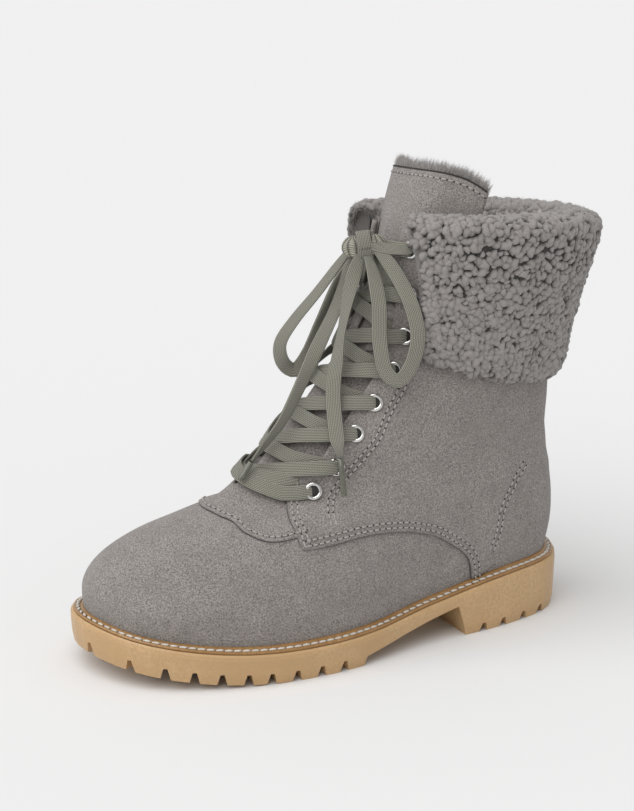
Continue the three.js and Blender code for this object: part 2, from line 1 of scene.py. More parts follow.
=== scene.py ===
# %% [markdown]
# # A laced sheepskin boot, made round a fixed frame
# The frame already holds every piece at its true size and place: sole, welt, footbed, upper, cuff,
# tongue, eyelets and the route of the lace. This script gives each of them the surface of the real
# thing. The frame's pieces are never moved, so each new piece is laid where its plain one stands.

# %% Load the frame
import math

import bpy
import numpy as np
from mathutils import Matrix, Vector, noise


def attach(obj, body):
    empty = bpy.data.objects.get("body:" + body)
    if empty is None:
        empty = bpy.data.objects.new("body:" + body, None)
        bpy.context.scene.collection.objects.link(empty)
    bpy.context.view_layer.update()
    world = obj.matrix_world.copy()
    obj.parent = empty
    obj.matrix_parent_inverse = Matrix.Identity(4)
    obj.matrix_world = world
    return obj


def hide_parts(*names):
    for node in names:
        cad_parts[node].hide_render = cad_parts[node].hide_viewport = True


def pick_none():
    bpy.ops.object.select_all(action="DESELECT")


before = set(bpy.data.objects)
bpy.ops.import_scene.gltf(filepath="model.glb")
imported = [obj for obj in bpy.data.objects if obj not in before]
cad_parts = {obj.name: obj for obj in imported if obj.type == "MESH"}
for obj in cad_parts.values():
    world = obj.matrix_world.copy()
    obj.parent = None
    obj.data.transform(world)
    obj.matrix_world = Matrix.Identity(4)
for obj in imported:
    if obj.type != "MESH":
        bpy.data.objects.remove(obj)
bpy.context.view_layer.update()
pick_none()
MM = 0.001

# %% [markdown]
# ## The camera
# The boot is seen from a little above and from far enough away that the toe does not swell. A long
# lens on a distant camera gives that look. The camera is aimed at the middle of the boot's side and
# rolled by under one degree.

# %% Place the camera
CAMERA_AT = Vector((0.6933, 1.0708, 0.5066))
AIM_AT = Vector((0.1135, 0.0, 0.1285))
ROLL = math.radians(0.73)
LENS = 108

bpy.ops.object.camera_add(location=CAMERA_AT)
camera = bpy.context.object
look = (AIM_AT - CAMERA_AT).to_track_quat("-Z", "Y").to_matrix()
camera.rotation_euler = (look @ Matrix.Rotation(ROLL, 3, "Z")).to_euler()
camera.data.lens = LENS
camera.data.clip_end = 50
bpy.context.scene.camera = camera
pick_none()

# %% [markdown]
# ## The last
# A shoe is pulled over a last, a solid foot form. If a script knows the last's surface it can lay
# anything on it: leather, stitches, wool or lace. The same few rows that shape the frame's upper
# are repeated here. A place on the last is an outline index, from the back point (0) along the
# outer side to the toe (7) and back along the inner side (14), and a height index, from the
# feather line (0) to the collar (11).

# %% Tables of the last
STATIONS = np.array([0.045, 0.17, 0.36, 0.58, 0.8, 0.95])
FRONT = 7
ENTRIES = 14
COLLAR = 11
GAP = 0.3
WELT_OVERHANG = 7.1
SOLE_TOP = [(-35, 30.6), (15, 29), (65, 22), (105, 17.2), (147, 16.5), (247, 16.5)]
SPRING_START_X = 147
SPRING_RATE = 13.6 / 100**2
SOLE = dict(back=-35, front=247, front_y=-12.5,
            lateral=[25, 37.5, 42.8, 54.6, 47.7, 25], medial=[25, 34.7, 29, 39.8, 53.6, 42])
RING_KEYS = ("back", "back_z", "front", "front_z", "front_y", "sag", "tilt", "lateral", "medial")
RINGS = [dict(zip(RING_KEYS, row)) for row in [
    (-30.5, 50, 241, 44.5, -12, 1, 0, [24, 34, 39, 48.5, 42, 24], [24, 32.3, 30, 36.8, 47.5, 37]),
    (-30, 66, 234.5, 58, -10, 0.8, 0, [24.8, 34.5, 39.5, 47, 38.5, 19], [24.8, 33, 34, 37, 43, 30.5]),
    (-28, 80, 219.5, 68.5, -7, 0.5, 0, [24, 33.7, 38.8, 41.7, 34.5, 16.5], [24, 32.6, 34.4, 34, 32, 23]),
    (-25.5, 92, 198.5, 75.7, -4, 0.2, 0, [22.8, 32.3, 36.8, 38.3, 29.8, 13.5], [22.8, 31.7, 34, 31.5, 22.8, 16.2]),
    (-24, 103, 174, 85, -1, 0, 0, [22.3, 31.2, 35.4, 35.3, 25, 11.5], [22.3, 30.8, 33.3, 31, 20.5, 10]),
    (-23.2, 115, 152.5, 101.5, 0, 0, 0, [21.8, 30.6, 35.1, 34.6, 27.5, 12.5], [21.8, 30.4, 34, 32.8, 24.5, 10.5]),
    (-23, 128, 135, 119.5, -1, 0, 0, [21.5, 30.8, 36, 34.8, 26, 12.5], [21.5, 30.6, 35.4, 33.5, 26, 13]),
    (-23, 145, 116, 140, -2, 0, 0, [22, 32, 38, 35.5, 25.5, 12.5], [22, 31.8, 37.6, 35, 26, 13.5]),
    (-24.5, 166, 98, 162, -2, 0, 0.02, [22, 33.5, 40.5, 38, 27.5, 14], [22, 33.3, 40.2, 37.5, 27, 14]),
    (-28.5, 188, 84, 190, -2, 0, 0.06, [22.5, 35, 43, 42, 34, 21], [22.5, 34.5, 42, 39.5, 30, 17.5]),
    (-35.5, 215, 76.5, 223, -1, 0, 0.11, [22.5, 36, 45.5, 46, 39, 27], [22.5, 35.5, 43.5, 41.5, 32, 19.5]),
    (-43, 240, 67, 253, -2, 0, 0.11, [23, 37, 46.5, 47, 40, 26], [23, 36.5, 44.5, 42.5, 33, 20.5]),
]]
print("rings of the last:", len(RINGS))


# %% Curves through the tables
def smooth(low, high, value):
    t = np.clip((np.asarray(value, float) - low) / (high - low), 0, 1)
    return t * t * (3 - 2 * t)


def mix(a, b, t):
    return a + (b - a) * t


def level_arrays(*values):
    """Flat float arrays of one length, whatever mix of numbers and arrays comes in."""
    return [np.ravel(a).astype(float) for a in np.broadcast_arrays(*values)]


def unit(rows):
    return rows / np.linalg.norm(rows, axis=-1, keepdims=True)


def run_length(points):
    """Distance along a row of points, from 0 at the first."""
    return np.concatenate([[0], np.cumsum(np.linalg.norm(np.diff(points, axis=0), axis=1))])


def table_curve(rows):
    """A smooth curve through (x, y) rows that never overshoots them."""
    x, y = (np.array(column, float) for column in zip(*rows))
    slope = np.diff(y) / np.diff(x)
    inner = np.where(slope[1:] * slope[:-1] <= 0, 0,
                     2 * slope[1:] * slope[:-1] / np.where(slope[1:] + slope[:-1] == 0, 1, slope[1:] + slope[:-1]))
    tangent = np.concatenate([[slope[0]], inner, [slope[-1]]])

    def at(value):
        value = np.asarray(value, float)
        i = np.clip(np.searchsorted(x, value, side="right") - 1, 0, len(x) - 2)
        width = x[i + 1] - x[i]
        t = np.clip((value - x[i]) / width, 0, 1)
        base = y[i] * (1 + 2 * t) * (1 - t) ** 2 + y[i + 1] * t * t * (3 - 2 * t)
        return base + width * (tangent[i] * t * (1 - t) ** 2 - tangent[i + 1] * t * t * (1 - t))

    return at


def outline_points(row):
    x = row["back"] + STATIONS * (row["front"] - row["back"])
    outer = np.column_stack([x, row["lateral"]])
    inner = np.column_stack([x, -np.array(row["medial"])])[::-1]
    return np.vstack([[[row["back"], 0]], outer, [[row["front"], row["front_y"]]], inner])


def closed_curve(points, index):
    """Centripetal curve through a closed ring of points, at outline indices."""
    index = np.mod(index, ENTRIES)
    k = np.floor(index).astype(int)
    w = (index - k)[:, None]
    p0, p1, p2, p3 = (points[(k + j) % ENTRIES] for j in (-1, 0, 1, 2))
    d0, d1, d2 = (np.sqrt(np.linalg.norm(b - a, axis=1))[:, None] for a, b in ((p0, p1), (p1, p2), (p2, p3)))
    t1 = d1 * ((p1 - p0) / d0 - (p2 - p0) / (d0 + d1) + (p2 - p1) / d1)
    t2 = d1 * ((p2 - p1) / d1 - (p3 - p1) / (d1 + d2) + (p3 - p2) / d2)
    return p1 + t1 * w + (3 * (p2 - p1) - 2 * t1 - t2) * w**2 + (2 * (p1 - p2) + t1 + t2) * w**3


# %% The sole's edge and the last's surface
sole_height = table_curve(SOLE_TOP)
sole_ring = outline_points(SOLE)
rings = [outline_points(row) for row in RINGS]


def spring(x):
    return SPRING_RATE * np.maximum(0, x - SPRING_START_X) ** 2


def sole_top(x):
    return sole_height(x) + spring(x)


def sole_point(index, inset=0.0, rise=0.0):
    """Points in from the outsole's edge, in mm, at a height above its top."""
    index = np.asarray(index, float)
    point = closed_curve(sole_ring, index)
    along = unit(closed_curve(sole_ring, index + 0.01) - closed_curve(sole_ring, index - 0.01))
    x = point[:, 0] + along[:, 1] * inset
    y = point[:, 1] - along[:, 0] * inset
    return np.column_stack([x, y, sole_top(x) + rise])


def ring_points(index):
    foot = sole_point(index, WELT_OVERHANG, GAP)
    levels = [foot]
    for row, ring in zip(RINGS, rings):
        point = closed_curve(ring, index)
        s = (point[:, 0] - row["back"]) / (row["front"] - row["back"])
        chord = mix(sole_top(row["back"]), sole_top(row["front"]), s)
        level = mix(row["back_z"], row["front_z"], s) + row["sag"] * (sole_top(point[:, 0]) - chord)
        levels.append(np.column_stack([point, level + row["tilt"] * point[:, 1]]))
    return np.array(levels)


def surface(index, height):
    index, height = level_arrays(index, height)
    levels = ring_points(index)
    base = np.minimum(np.floor(height), len(RINGS) - 1).astype(int)
    t = (height - base)[:, None]
    column = np.arange(len(index))
    p0, p1, p2, p3 = (levels[np.clip(base + j, 0, len(RINGS)), column] for j in (-1, 0, 1, 2))
    return (p0 * (-0.5 * t + t**2 - 0.5 * t**3) + p1 * (1 - 2.5 * t**2 + 1.5 * t**3)
            + p2 * (0.5 * t + 2 * t**2 - 1.5 * t**3) + p3 * (-0.5 * t**2 + 0.5 * t**3))


def normals(index, height):
    index, height = level_arrays(index, height)
    step = 0.05
    around = surface(index + step, height) - surface(index - step, height)
    up = surface(index, height + step) - surface(index, np.maximum(height - step, 0))
    normal = np.cross(up, around)
    level = height <= 0
    normal[level, 2] = 0
    # up crossed with around points out of the last, because the index runs clockwise
    return unit(normal)


def on_last(index, height, distance=0.0):
    """Points in mm, off the last by a distance."""
    index, height, distance = level_arrays(index, height, distance)
    return surface(index, height) + normals(index, height) * distance[:, None]


def from_front(index):
    return np.abs(np.mod(index, ENTRIES) - FRONT)


def wall_at(index, height):
    """Wall thickness: 3 mm on the facings, 7 mm where wool lines the suede."""
    facing = (1 - smooth(2.6, 3.4, from_front(index))) * smooth(4.4, 5.2, height)
    return mix(7.0, 3.0, facing)


check = on_last([0, 3.5, 7], [3, 3, 3])
print("last at its back, outer side and toe:", np.round(check, 1).tolist())

# %% [markdown]
# ## Making a mesh lie on a surface
# A grid primitive is a sheet of cloth with two directions. Moving each of its points to a place
# worked out from those two directions turns it into any curved sheet. Rings swept along a route
# give cords and beads. These helpers do that for all the pieces below.


# %% Mesh helpers
def pick_only(*objects):
    pick_none()
    for obj in objects:
        obj.select_set(True)
    bpy.context.view_layer.objects.active = objects[0]


def write_points(obj, points_mm):
    obj.data.vertices.foreach_set("co", (np.asarray(points_mm) * MM).astype(np.float32).ravel())
    obj.data.update()


def read_points(obj):
    co = np.zeros(len(obj.data.vertices) * 3, np.float32)
    obj.data.vertices.foreach_get("co", co)
    return co.reshape(-1, 3).astype(float) / MM


def put_attribute(obj, name, values):
    attribute = obj.data.attributes.new(name, "FLOAT", "POINT")
    attribute.data.foreach_set("value", np.asarray(values, np.float32))


def laid_grid(name, columns, rows, place):
    """A grid whose two directions, each from 0 to 1, are moved by place(u, v)."""
    bpy.ops.mesh.primitive_grid_add(x_subdivisions=columns, y_subdivisions=rows, size=1)
    obj = bpy.context.object
    obj.name = name
    co = read_points(obj) * MM + 0.5
    write_points(obj, place(co[:, 0], co[:, 1]))
    return obj


def finish_mesh(obj, merge=None, outward=True):
    """Joins doubles, turns the faces outwards and shades them smoothly."""
    pick_only(obj)
    bpy.ops.object.mode_set(mode="EDIT")
    bpy.ops.mesh.select_all(action="SELECT")
    if merge:
        bpy.ops.mesh.remove_doubles(threshold=merge * MM)
    if outward:
        bpy.ops.mesh.normals_make_consistent(inside=False)
    bpy.ops.object.mode_set(mode="OBJECT")
    bpy.ops.object.shade_smooth()
    pick_none()
    return obj


def apply_modifier(obj, kind, **settings):
    pick_only(obj)
    modifier = obj.modifiers.new(kind.title(), kind)
    for key, value in settings.items():
        setattr(modifier, key, value)
    bpy.ops.object.modifier_apply(modifier=modifier.name)
    pick_none()


def place_mesh(mesh):
    obj = bpy.data.objects.new(mesh.name, mesh)
    bpy.context.collection.objects.link(obj)
    return obj


def ring_sweep(name, loops, closed=False):
    """A body from rings of equal size: open with capped ends, or closed on itself."""
    loops = np.asarray(loops, float)
    count, size = loops.shape[:2]
    faces = []
    for r in range(count if closed else count - 1):
        a, b = r * size, ((r + 1) % count) * size
        faces += [(a + i, a + (i + 1) % size, b + (i + 1) % size, b + i) for i in range(size)]
    if not closed:
        faces += [tuple(range(size))[::-1], tuple(range((count - 1) * size, count * size))]
    mesh = bpy.data.meshes.new(name)
    mesh.from_pydata((loops.reshape(-1, 3) * MM).tolist(), [], faces)
    return finish_mesh(place_mesh(mesh))


def scatter(name, template, places, axes, scales):
    """Copies of a small template as one object; axes are 3x3 matrices, scales one row or one for each."""
    base = read_points(template)
    faces = np.array([list(p.vertices) for p in template.data.polygons])
    count = len(places)
    points = np.einsum("nij,mj->nmi", axes * np.atleast_2d(scales)[:, None, :], base) + places[:, None, :]
    order = (faces[None] + (np.arange(count) * len(base))[:, None, None]).reshape(-1, faces.shape[1])
    mesh = bpy.data.meshes.new(name)
    mesh.vertices.add(count * len(base))
    mesh.vertices.foreach_set("co", (points.reshape(-1, 3) * MM).astype(np.float32).ravel())
    mesh.loops.add(order.size)
    mesh.loops.foreach_set("vertex_index", order.ravel().astype(np.int32))
    mesh.polygons.add(len(order))
    mesh.polygons.foreach_set("loop_start", np.arange(0, order.size, faces.shape[1], dtype=np.int32))
    mesh.update(calc_edges=True)
    obj = place_mesh(mesh)
    pick_only(obj)
    bpy.ops.object.shade_smooth()
    pick_none()
    return obj


def frames_from(normal, forward):
    """3x3 matrices whose third axis is the normal and whose first is nearly forward."""
    z = unit(normal)
    y = unit(np.cross(z, forward))
    return np.stack([np.cross(y, z), y, z], axis=2)


def spline(points, count):
    """Points at even steps along a smooth curve through given points."""
    points = np.asarray(points, float)
    padded = np.vstack([2 * points[0] - points[1], points, 2 * points[-1] - points[-2]])
    fine = []
    for k in range(len(points) - 1):
        p0, p1, p2, p3 = padded[k:k + 4]
        for t in np.linspace(0, 1, 24, endpoint=False):
            fine.append(0.5 * (2 * p1 + (p2 - p0) * t + (2 * p0 - 5 * p1 + 4 * p2 - p3) * t**2
                               + (3 * p1 - p0 - 3 * p2 + p3) * t**3))
    fine = np.array(fine + [points[-1]])
    length = run_length(fine[:, :3])
    at = np.linspace(0, length[-1], count)
    return np.column_stack([np.interp(at, length, fine[:, c]) for c in range(fine.shape[1])])


def keep(obj, slot, *nodes):
    """Every piece rides on the one body and stands for its plain pieces; slot is not used."""
    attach(obj, "root")
    if nodes:
        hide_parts(*nodes)
    print(f"{obj.name}: {sum(len(p.vertices) - 2 for p in obj.data.polygons)} triangles")
    return obj

# %% [markdown]
# ## Finishes
# Each material is a small network of nodes. What several of them share is built once as a group:
# a soft mottle, a fine grain that also bumps the surface, and a flat braid for the lace. Groups
# give out colours, masks and normals; the shader itself stays in the material. Colours are linear.


# %% Node helpers
def add_node(tree, kind, inputs=None, **settings):
    item = tree.nodes.new(kind)
    for key, value in settings.items():
        setattr(item, key, value)
    for key, value in (inputs or {}).items():
        if isinstance(value, bpy.types.NodeSocket):
            tree.links.new(value, item.inputs[key])
        else:
            item.inputs[key].default_value = value
    return item


def new_group(name, inputs, outputs):
    tree = bpy.data.node_groups.new(name, "ShaderNodeTree")
    for label, kind in inputs:
        tree.interface.new_socket(label, in_out="INPUT", socket_type="NodeSocket" + kind)
    for label, kind in outputs:
        tree.interface.new_socket(label, in_out="OUTPUT", socket_type="NodeSocket" + kind)
    return tree, tree.nodes.new("NodeGroupInput").outputs, tree.nodes.new("NodeGroupOutput")


def use_group(tree, group, inputs):
    return add_node(tree, "ShaderNodeGroup", inputs, node_tree=group).outputs


def math_node(tree, operation, a, b=0.0):
    return add_node(tree, "ShaderNodeMath", {0: a, 1: b}, operation=operation).outputs[0]


def humps(tree, value):
    """The height of even round humps, one for each whole number."""
    turn = math_node(tree, "MULTIPLY", value, math.pi)
    return math_node(tree, "ABSOLUTE", math_node(tree, "SINE", turn))


def blend_colour(tree, factor, dark, light):
    return add_node(tree, "ShaderNodeMix", {0: factor, 6: dark, 7: light}, data_type="RGBA").outputs[2]


# %% Group: soft mottle
mottle, gin, gout = new_group(
    "Soft mottle", [("Where", "Vector"), ("Scale", "Float"), ("Dark", "Color"), ("Light", "Color")],
    [("Color", "Color")])
cloud = add_node(mottle, "ShaderNodeTexNoise", {"Vector": gin["Where"], "Scale": gin["Scale"],
                                                "Detail": 3.0, "Roughness": 0.55})
spread = add_node(mottle, "ShaderNodeMapRange", {"Value": cloud.outputs[0], "From Min": 0.3, "From Max": 0.7},
                  interpolation_type="SMOOTHSTEP")
mottle.links.new(blend_colour(mottle, spread.outputs[0], gin["Dark"], gin["Light"]), gout.inputs[0])

# %% Group: fine grain
grain, gin, gout = new_group(
    "Fine grain", [("Where", "Vector"), ("Scale", "Float"), ("Strength", "Float"), ("Depth", "Float"),
                   ("Color", "Color"), ("Speck", "Color")],
    [("Color", "Color"), ("Normal", "Vector")])
speck = add_node(grain, "ShaderNodeTexNoise", {"Vector": gin["Where"], "Scale": gin["Scale"],
                                               "Detail": 4.0, "Roughness": 0.65})
spread = add_node(grain, "ShaderNodeMapRange", {"Value": speck.outputs[0], "From Min": 0.36, "From Max": 0.64})
bump = add_node(grain, "ShaderNodeBump", {"Strength": gin["Strength"], "Distance": gin["Depth"],
                                          "Height": speck.outputs[0]})
grain.links.new(blend_colour(grain, spread.outputs[0], gin["Speck"], gin["Color"]), gout.inputs[0])
grain.links.new(bump.outputs[0], gout.inputs[1])

# %% Group: flat braid
# Lengthwise ribs, each a row of small slanted stitches. The UV map runs from 0 to 1 across the
# lace and counts millimetres along it.
braid, gin, gout = new_group(
    "Flat braid", [("Where", "Vector"), ("Ribs", "Float"), ("Pitch", "Float")],
    [("Height", "Float"), ("Shade", "Float")])
parts = add_node(braid, "ShaderNodeSeparateXYZ", {0: gin["Where"]})
across = math_node(braid, "MULTIPLY", parts.outputs[0], gin["Ribs"])
rib = humps(braid, across)
slant = math_node(braid, "PINGPONG", across, 1.0)
along = math_node(braid, "ADD", math_node(braid, "DIVIDE", parts.outputs[1], gin["Pitch"]), slant)
loop = humps(braid, along)
body = math_node(braid, "MULTIPLY", math_node(braid, "POWER", rib, 0.6), math_node(braid, "POWER", loop, 0.4))
braid.links.new(body, gout.inputs[0])
# Shade follows the braid's height, dark in the gaps between ribs and stitches: painted shade
shade = add_node(braid, "ShaderNodeMapRange", {"Value": body, "From Min": 0.1, "From Max": 0.85})
braid.links.new(shade.outputs[0], gout.inputs[1])


# %% Materials
def new_material(name):
    material = bpy.data.materials.new(name)
    material.use_nodes = True
    tree = material.node_tree
    shader = tree.nodes["Principled BSDF"]
    where = add_node(tree, "ShaderNodeTexCoord").outputs["Object"]
    return material, tree, shader, where


def rgba(r, g, b):
    return (r, g, b, 1.0)


def set_values(shader, values):
    for key, value in values.items():
        shader.inputs[key.replace("_", " ")].default_value = value


def grained(name, dark, light, speck_share, scale, fine, strength, depth, edge=None, **shader_values):
    """A mottled colour with fine specks; an 'edge' attribute darkens cut edges with their own dark colour and
    painted shade.
    """
    material, tree, shader, where = new_material(name)
    cloud = use_group(tree, mottle, {"Where": where, "Scale": scale, "Dark": dark, "Light": light})[0]
    speck = rgba(*(c * speck_share for c in dark[:3]))
    fine_out = use_group(tree, grain, {"Where": where, "Scale": fine, "Strength": strength,
                                       "Depth": depth, "Color": cloud, "Speck": speck})
    colour = fine_out[0]
    # the 'edge' mask mixes in near black: the cut edges' own dark colour plus painted shade
    if edge:
        mask = add_node(tree, "ShaderNodeAttribute", attribute_name="edge").outputs["Fac"]
        colour = blend_colour(tree, mask, colour, edge)
    tree.links.new(colour, shader.inputs["Base Color"])
    tree.links.new(fine_out[1], shader.inputs["Normal"])
    set_values(shader, shader_values)
    return material


# near-black edge colour for the suede's cut edges: their own dark colour plus painted shade
suede = grained("suede", rgba(0.36, 0.325, 0.302), rgba(0.42, 0.382, 0.357), 0.4, 70.0, 1300.0, 1.0, 0.0006,
                edge=rgba(0.055, 0.052, 0.05), Roughness=0.95, Sheen_Weight=0.18, Sheen_Roughness=0.5)
gum = grained("gum rubber", rgba(0.52, 0.335, 0.165), rgba(0.62, 0.42, 0.225), 0.96, 26.0, 700.0, 0.08, 0.0001,
              Roughness=0.42, Specular_IOR_Level=0.45, Subsurface_Weight=0.12, Subsurface_Scale=0.004)
welt_leather = grained("welt leather", rgba(0.33, 0.17, 0.055), rgba(0.44, 0.25, 0.095), 0.8, 60.0, 900.0, 0.12,
                       0.0002, Roughness=0.3, Coat_Weight=0.35, Coat_Roughness=0.2)
white_thread = grained("white thread", rgba(0.66, 0.63, 0.57), rgba(0.82, 0.8, 0.75), 0.7, 300.0, 2600.0, 0.4,
                       0.0002, Roughness=0.7)
grey_thread = grained("grey thread", rgba(0.4, 0.37, 0.35), rgba(0.52, 0.48, 0.455), 0.75, 300.0, 3000.0, 0.4,
                      0.0001, Roughness=0.8)
# near black: painted shade for needle holes and eyelet holes, and for the tongue's cut edge its own dark colour
# plus painted shade
hole_shade_and_dark_edge = grained("needle holes", rgba(0.035, 0.033, 0.03), rgba(0.06, 0.055, 0.05), 0.7, 300.0, 3000.0, 0.2,
                      0.0001, Roughness=0.9)
nickel = grained("nickel", rgba(0.7, 0.69, 0.67), rgba(0.8, 0.79, 0.77), 0.97, 200.0, 1500.0, 0.02, 0.00005,
                 Metallic=1.0, Roughness=0.16)
tip_film = grained("lace tip film", rgba(0.1, 0.1, 0.075), rgba(0.15, 0.15, 0.115), 0.9, 300.0, 1500.0, 0.05,
                   0.00005, Roughness=0.22, Coat_Weight=0.6)


def wool_material(name, root, middle, tip, fine, strength, depth):
    """Wool gets its depth from the 'depth' attribute, from 0 in the gaps to 1 on the crowns; the dark root colour
    is painted shade in the gaps.
    """
    material, tree, shader, where = new_material(name)
    mask = add_node(tree, "ShaderNodeAttribute", attribute_name="depth").outputs["Fac"]
    ramp = add_node(tree, "ShaderNodeValToRGB", {0: mask})
    stops = ramp.color_ramp.elements
    stops[0].position, stops[0].color = 0.12, root
    stops[1].position, stops[1].color = 0.95, tip
    stops.new(0.5).color = middle
    fine_out = use_group(tree, grain, {"Where": where, "Scale": fine, "Strength": strength, "Depth": depth,
                                       "Color": ramp.outputs[0], "Speck": root})
    soft = blend_colour(tree, 0.35, ramp.outputs[0], fine_out[0])
    tree.links.new(soft, shader.inputs["Base Color"])
    tree.links.new(fine_out[1], shader.inputs["Normal"])
    set_values(shader, dict(Roughness=1.0, Specular_IOR_Level=0.1, Sheen_Weight=0.3, Sheen_Roughness=0.6))
    return material


# each ramp runs from a dark root colour, painted shade for the gaps between curls and hairs, to the lighter crown
# colour
curly_wool = wool_material("curly wool", rgba(0.05, 0.045, 0.042), rgba(0.205, 0.188, 0.18),
                           rgba(0.35, 0.326, 0.312), 1700.0, 0.5, 0.0004)
soft_wool = wool_material("soft wool", rgba(0.16, 0.146, 0.14), rgba(0.34, 0.315, 0.3),
                          rgba(0.5, 0.47, 0.45), 1500.0, 0.6, 0.0004)
lining_wool = wool_material("lining wool", rgba(0.1, 0.092, 0.087), rgba(0.24, 0.222, 0.21),
                            rgba(0.36, 0.335, 0.32), 1300.0, 0.6, 0.0005)

lace_cloth, tree, shader, _ = new_material("lace cloth")
uv = add_node(tree, "ShaderNodeUVMap", uv_map="Weave").outputs[0]
knit = use_group(tree, braid, {"Where": uv, "Ribs": 9.0, "Pitch": 1.25})
# near black in the braid's gaps is painted shade; the ribs carry the lace's own colour
shade = blend_colour(tree, knit["Shade"], rgba(0.065, 0.062, 0.05), rgba(0.41, 0.395, 0.325))
lace_bump = add_node(tree, "ShaderNodeBump", {"Strength": 1.0, "Distance": 0.0006, "Height": knit["Height"]})
tree.links.new(shade, shader.inputs["Base Color"])
tree.links.new(lace_bump.outputs[0], shader.inputs["Normal"])
set_values(shader, dict(Roughness=0.85, Sheen_Weight=0.12))
print("materials:", len(bpy.data.materials))


def paint(obj, material):
    obj.data.materials.clear()
    obj.data.materials.append(material)
    return obj


# %% [markdown]
# ## The lace
# The lace is a flat braid. A flat cord keeps its width in one direction and its thin side in the
# other, so each stretch is a row of centre points with a direction for its flat face. Over the boot
# that direction is the last's own; in the bow it is given as a turn from the view of the bow's
# front, in degrees. The lace comes first because the frame checks its real length.

# %% Ribbon helper
LACE_WIDTH = 7.8
LACE_THICK = 1.3
BOW_FRONT = np.array([0.448, 0.860, 0.244])
RIBBON_SECTION = [(-0.5, 0), (-0.46, 0.34), (-0.33, 0.46), (-0.11, 0.5), (0.11, 0.5), (0.33, 0.46), (0.46, 0.34),
                  (0.5, 0), (0.46, -0.34), (0.33, -0.46), (0.11, -0.5), (-0.11, -0.5), (-0.33, -0.46),
                  (-0.46, -0.34)]


def tangents(points):
    return unit(np.gradient(points, axis=0))


def ribbon(name, centre, face, width, thick=LACE_THICK, closed=False):
    along = tangents(centre)
    if closed:
        along = unit(np.roll(centre, -1, axis=0) - np.roll(centre, 1, axis=0))
    side = unit(np.cross(face, along))
    up = np.cross(along, side)
    section = np.array(RIBBON_SECTION)
    width = np.broadcast_to(width, len(centre))
    loops = (centre[:, None] + side[:, None] * section[None, :, :1] * width[:, None, None]
             + up[:, None] * section[None, :, 1:] * thick)
    obj = ring_sweep(name, loops, closed)
    u = np.tile(section[:, 0] + 0.5, len(centre))
    v = np.repeat(run_length(centre), len(section))
    layer = obj.data.uv_layers.new(name="Weave")
    at = np.zeros(len(obj.data.loops), np.int32)
    obj.data.loops.foreach_get("vertex_index", at)
    layer.data.foreach_set("uv", np.column_stack([u[at], v[at]]).astype(np.float32).ravel())
    return paint(obj, lace_cloth)


def turned_faces(centre, turn):
    """Face directions: the bow's front, made square to the lace and turned about it."""
    along = tangents(centre)
    flat = unit(BOW_FRONT - along * (along @ BOW_FRONT)[:, None])
    angle = np.radians(turn)[:, None]
    return flat * np.cos(angle) + np.cross(along, flat) * np.sin(angle)


# %% The bow: routes in mm, with the turn of the lace's face at each point
KNOT = np.array([89.5, 5.0, 213.0])
BOW = {
    "loop_lateral": [
        (88.5, 8.5, 213.5, 40), (86, 16, 211, 25), (82.5, 26, 202, 12), (79.5, 36, 189, 0),
        (78, 41.5, 173.5, -8), (80.5, 41.5, 159, -10), (86, 38, 149, -15), (91.5, 33, 153, -12),
        (92.5, 28, 168, -6), (91, 24, 186, 0), (90.5, 17, 200, 20), (90, 9.5, 208.5, 25)],
    "loop_medial": [
        (90.5, -0.5, 212, 60), (94.5, -7, 205, 60), (106, -15, 185.5, 52), (117.5, -19, 170.5, 44),
        (124.5, -21, 158.5, 30), (124, -19, 148.5, 12), (117.5, -17, 144, 0), (111.5, -14.5, 153, 20),
        (106, -12, 170.5, 52), (100.5, -6, 191, 62), (94.5, -2, 203, 60), (91, 1, 210, 50)],
    "end_medial": [
        (91.5, 4, 211, 0), (95.5, 2, 202, 10), (98.5, -1, 189, 28), (103, -3, 176, 34), (110, -3, 163, 20),
        (119, -0.5, 149, -20), (129, 5, 137.5, -38), (139, 8.5, 125, -50), (149, 8.5, 114, -62),
        (156, 8.5, 106.5, -66)],
    "end_lateral": [
        (91.5, 6.5, 211, 0), (95.5, 7, 202, 0), (101, 9, 187, 38), (105.5, 11, 171, 60), (109.5, 14, 158, 40),
        (114.5, 19, 142, 5), (117.5, 28, 124, -2), (119, 36, 111, 0)],
}
AGLETS = {"medial": [(156.4, 8.6, 106), (163.5, 9.9, 98)], "lateral": [(119.1, 36.4, 110.2), (120, 43, 92.5)]}


AGLET_RADIUS = 1.35


def make_aglet(side):
    """A clear film rolled round the lace's tip: a short tube, pressed a little flat at its mouth."""
    start, end = (np.array(p, float) for p in AGLETS[side])
    length = np.linalg.norm(end - start)
    bpy.ops.mesh.primitive_cylinder_add(vertices=20, radius=AGLET_RADIUS, depth=length, end_fill_type="NGON")
    obj = bpy.context.object
    obj.name = f"aglet_tip_{side}"
    bpy.ops.object.mode_set(mode="EDIT")
    bpy.ops.mesh.subdivide(number_cuts=3)
    bpy.ops.object.mode_set(mode="OBJECT")
    apply_modifier(obj, "BEVEL", width=0.35, segments=3, limit_method="ANGLE", angle_limit=math.radians(50))
    co = read_points(obj) * MM
    pinch = 1 - 0.28 * smooth(0.15, 0.5, co[:, 2] / length)
    axis = (end - start) / length
    wide = unit(np.cross(axis, BOW_FRONT))
    thin = np.cross(axis, wide)
    middle = (start + end) / 2
    write_points(obj, middle - co[:, 2:3] * axis + co[:, :1] * wide * 1.15 + co[:, 1:2] * thin * pinch[:, None])
    finish_mesh(obj)
    return keep(paint(obj, tip_film), "aglet", f"aglet_{side}")


aglets = {side: make_aglet(side) for side in AGLETS}


def gathered(reach, share, span):
    """Narrowing that fades out from the start of a stretch."""
    return share * np.exp(-(reach / span) ** 2)


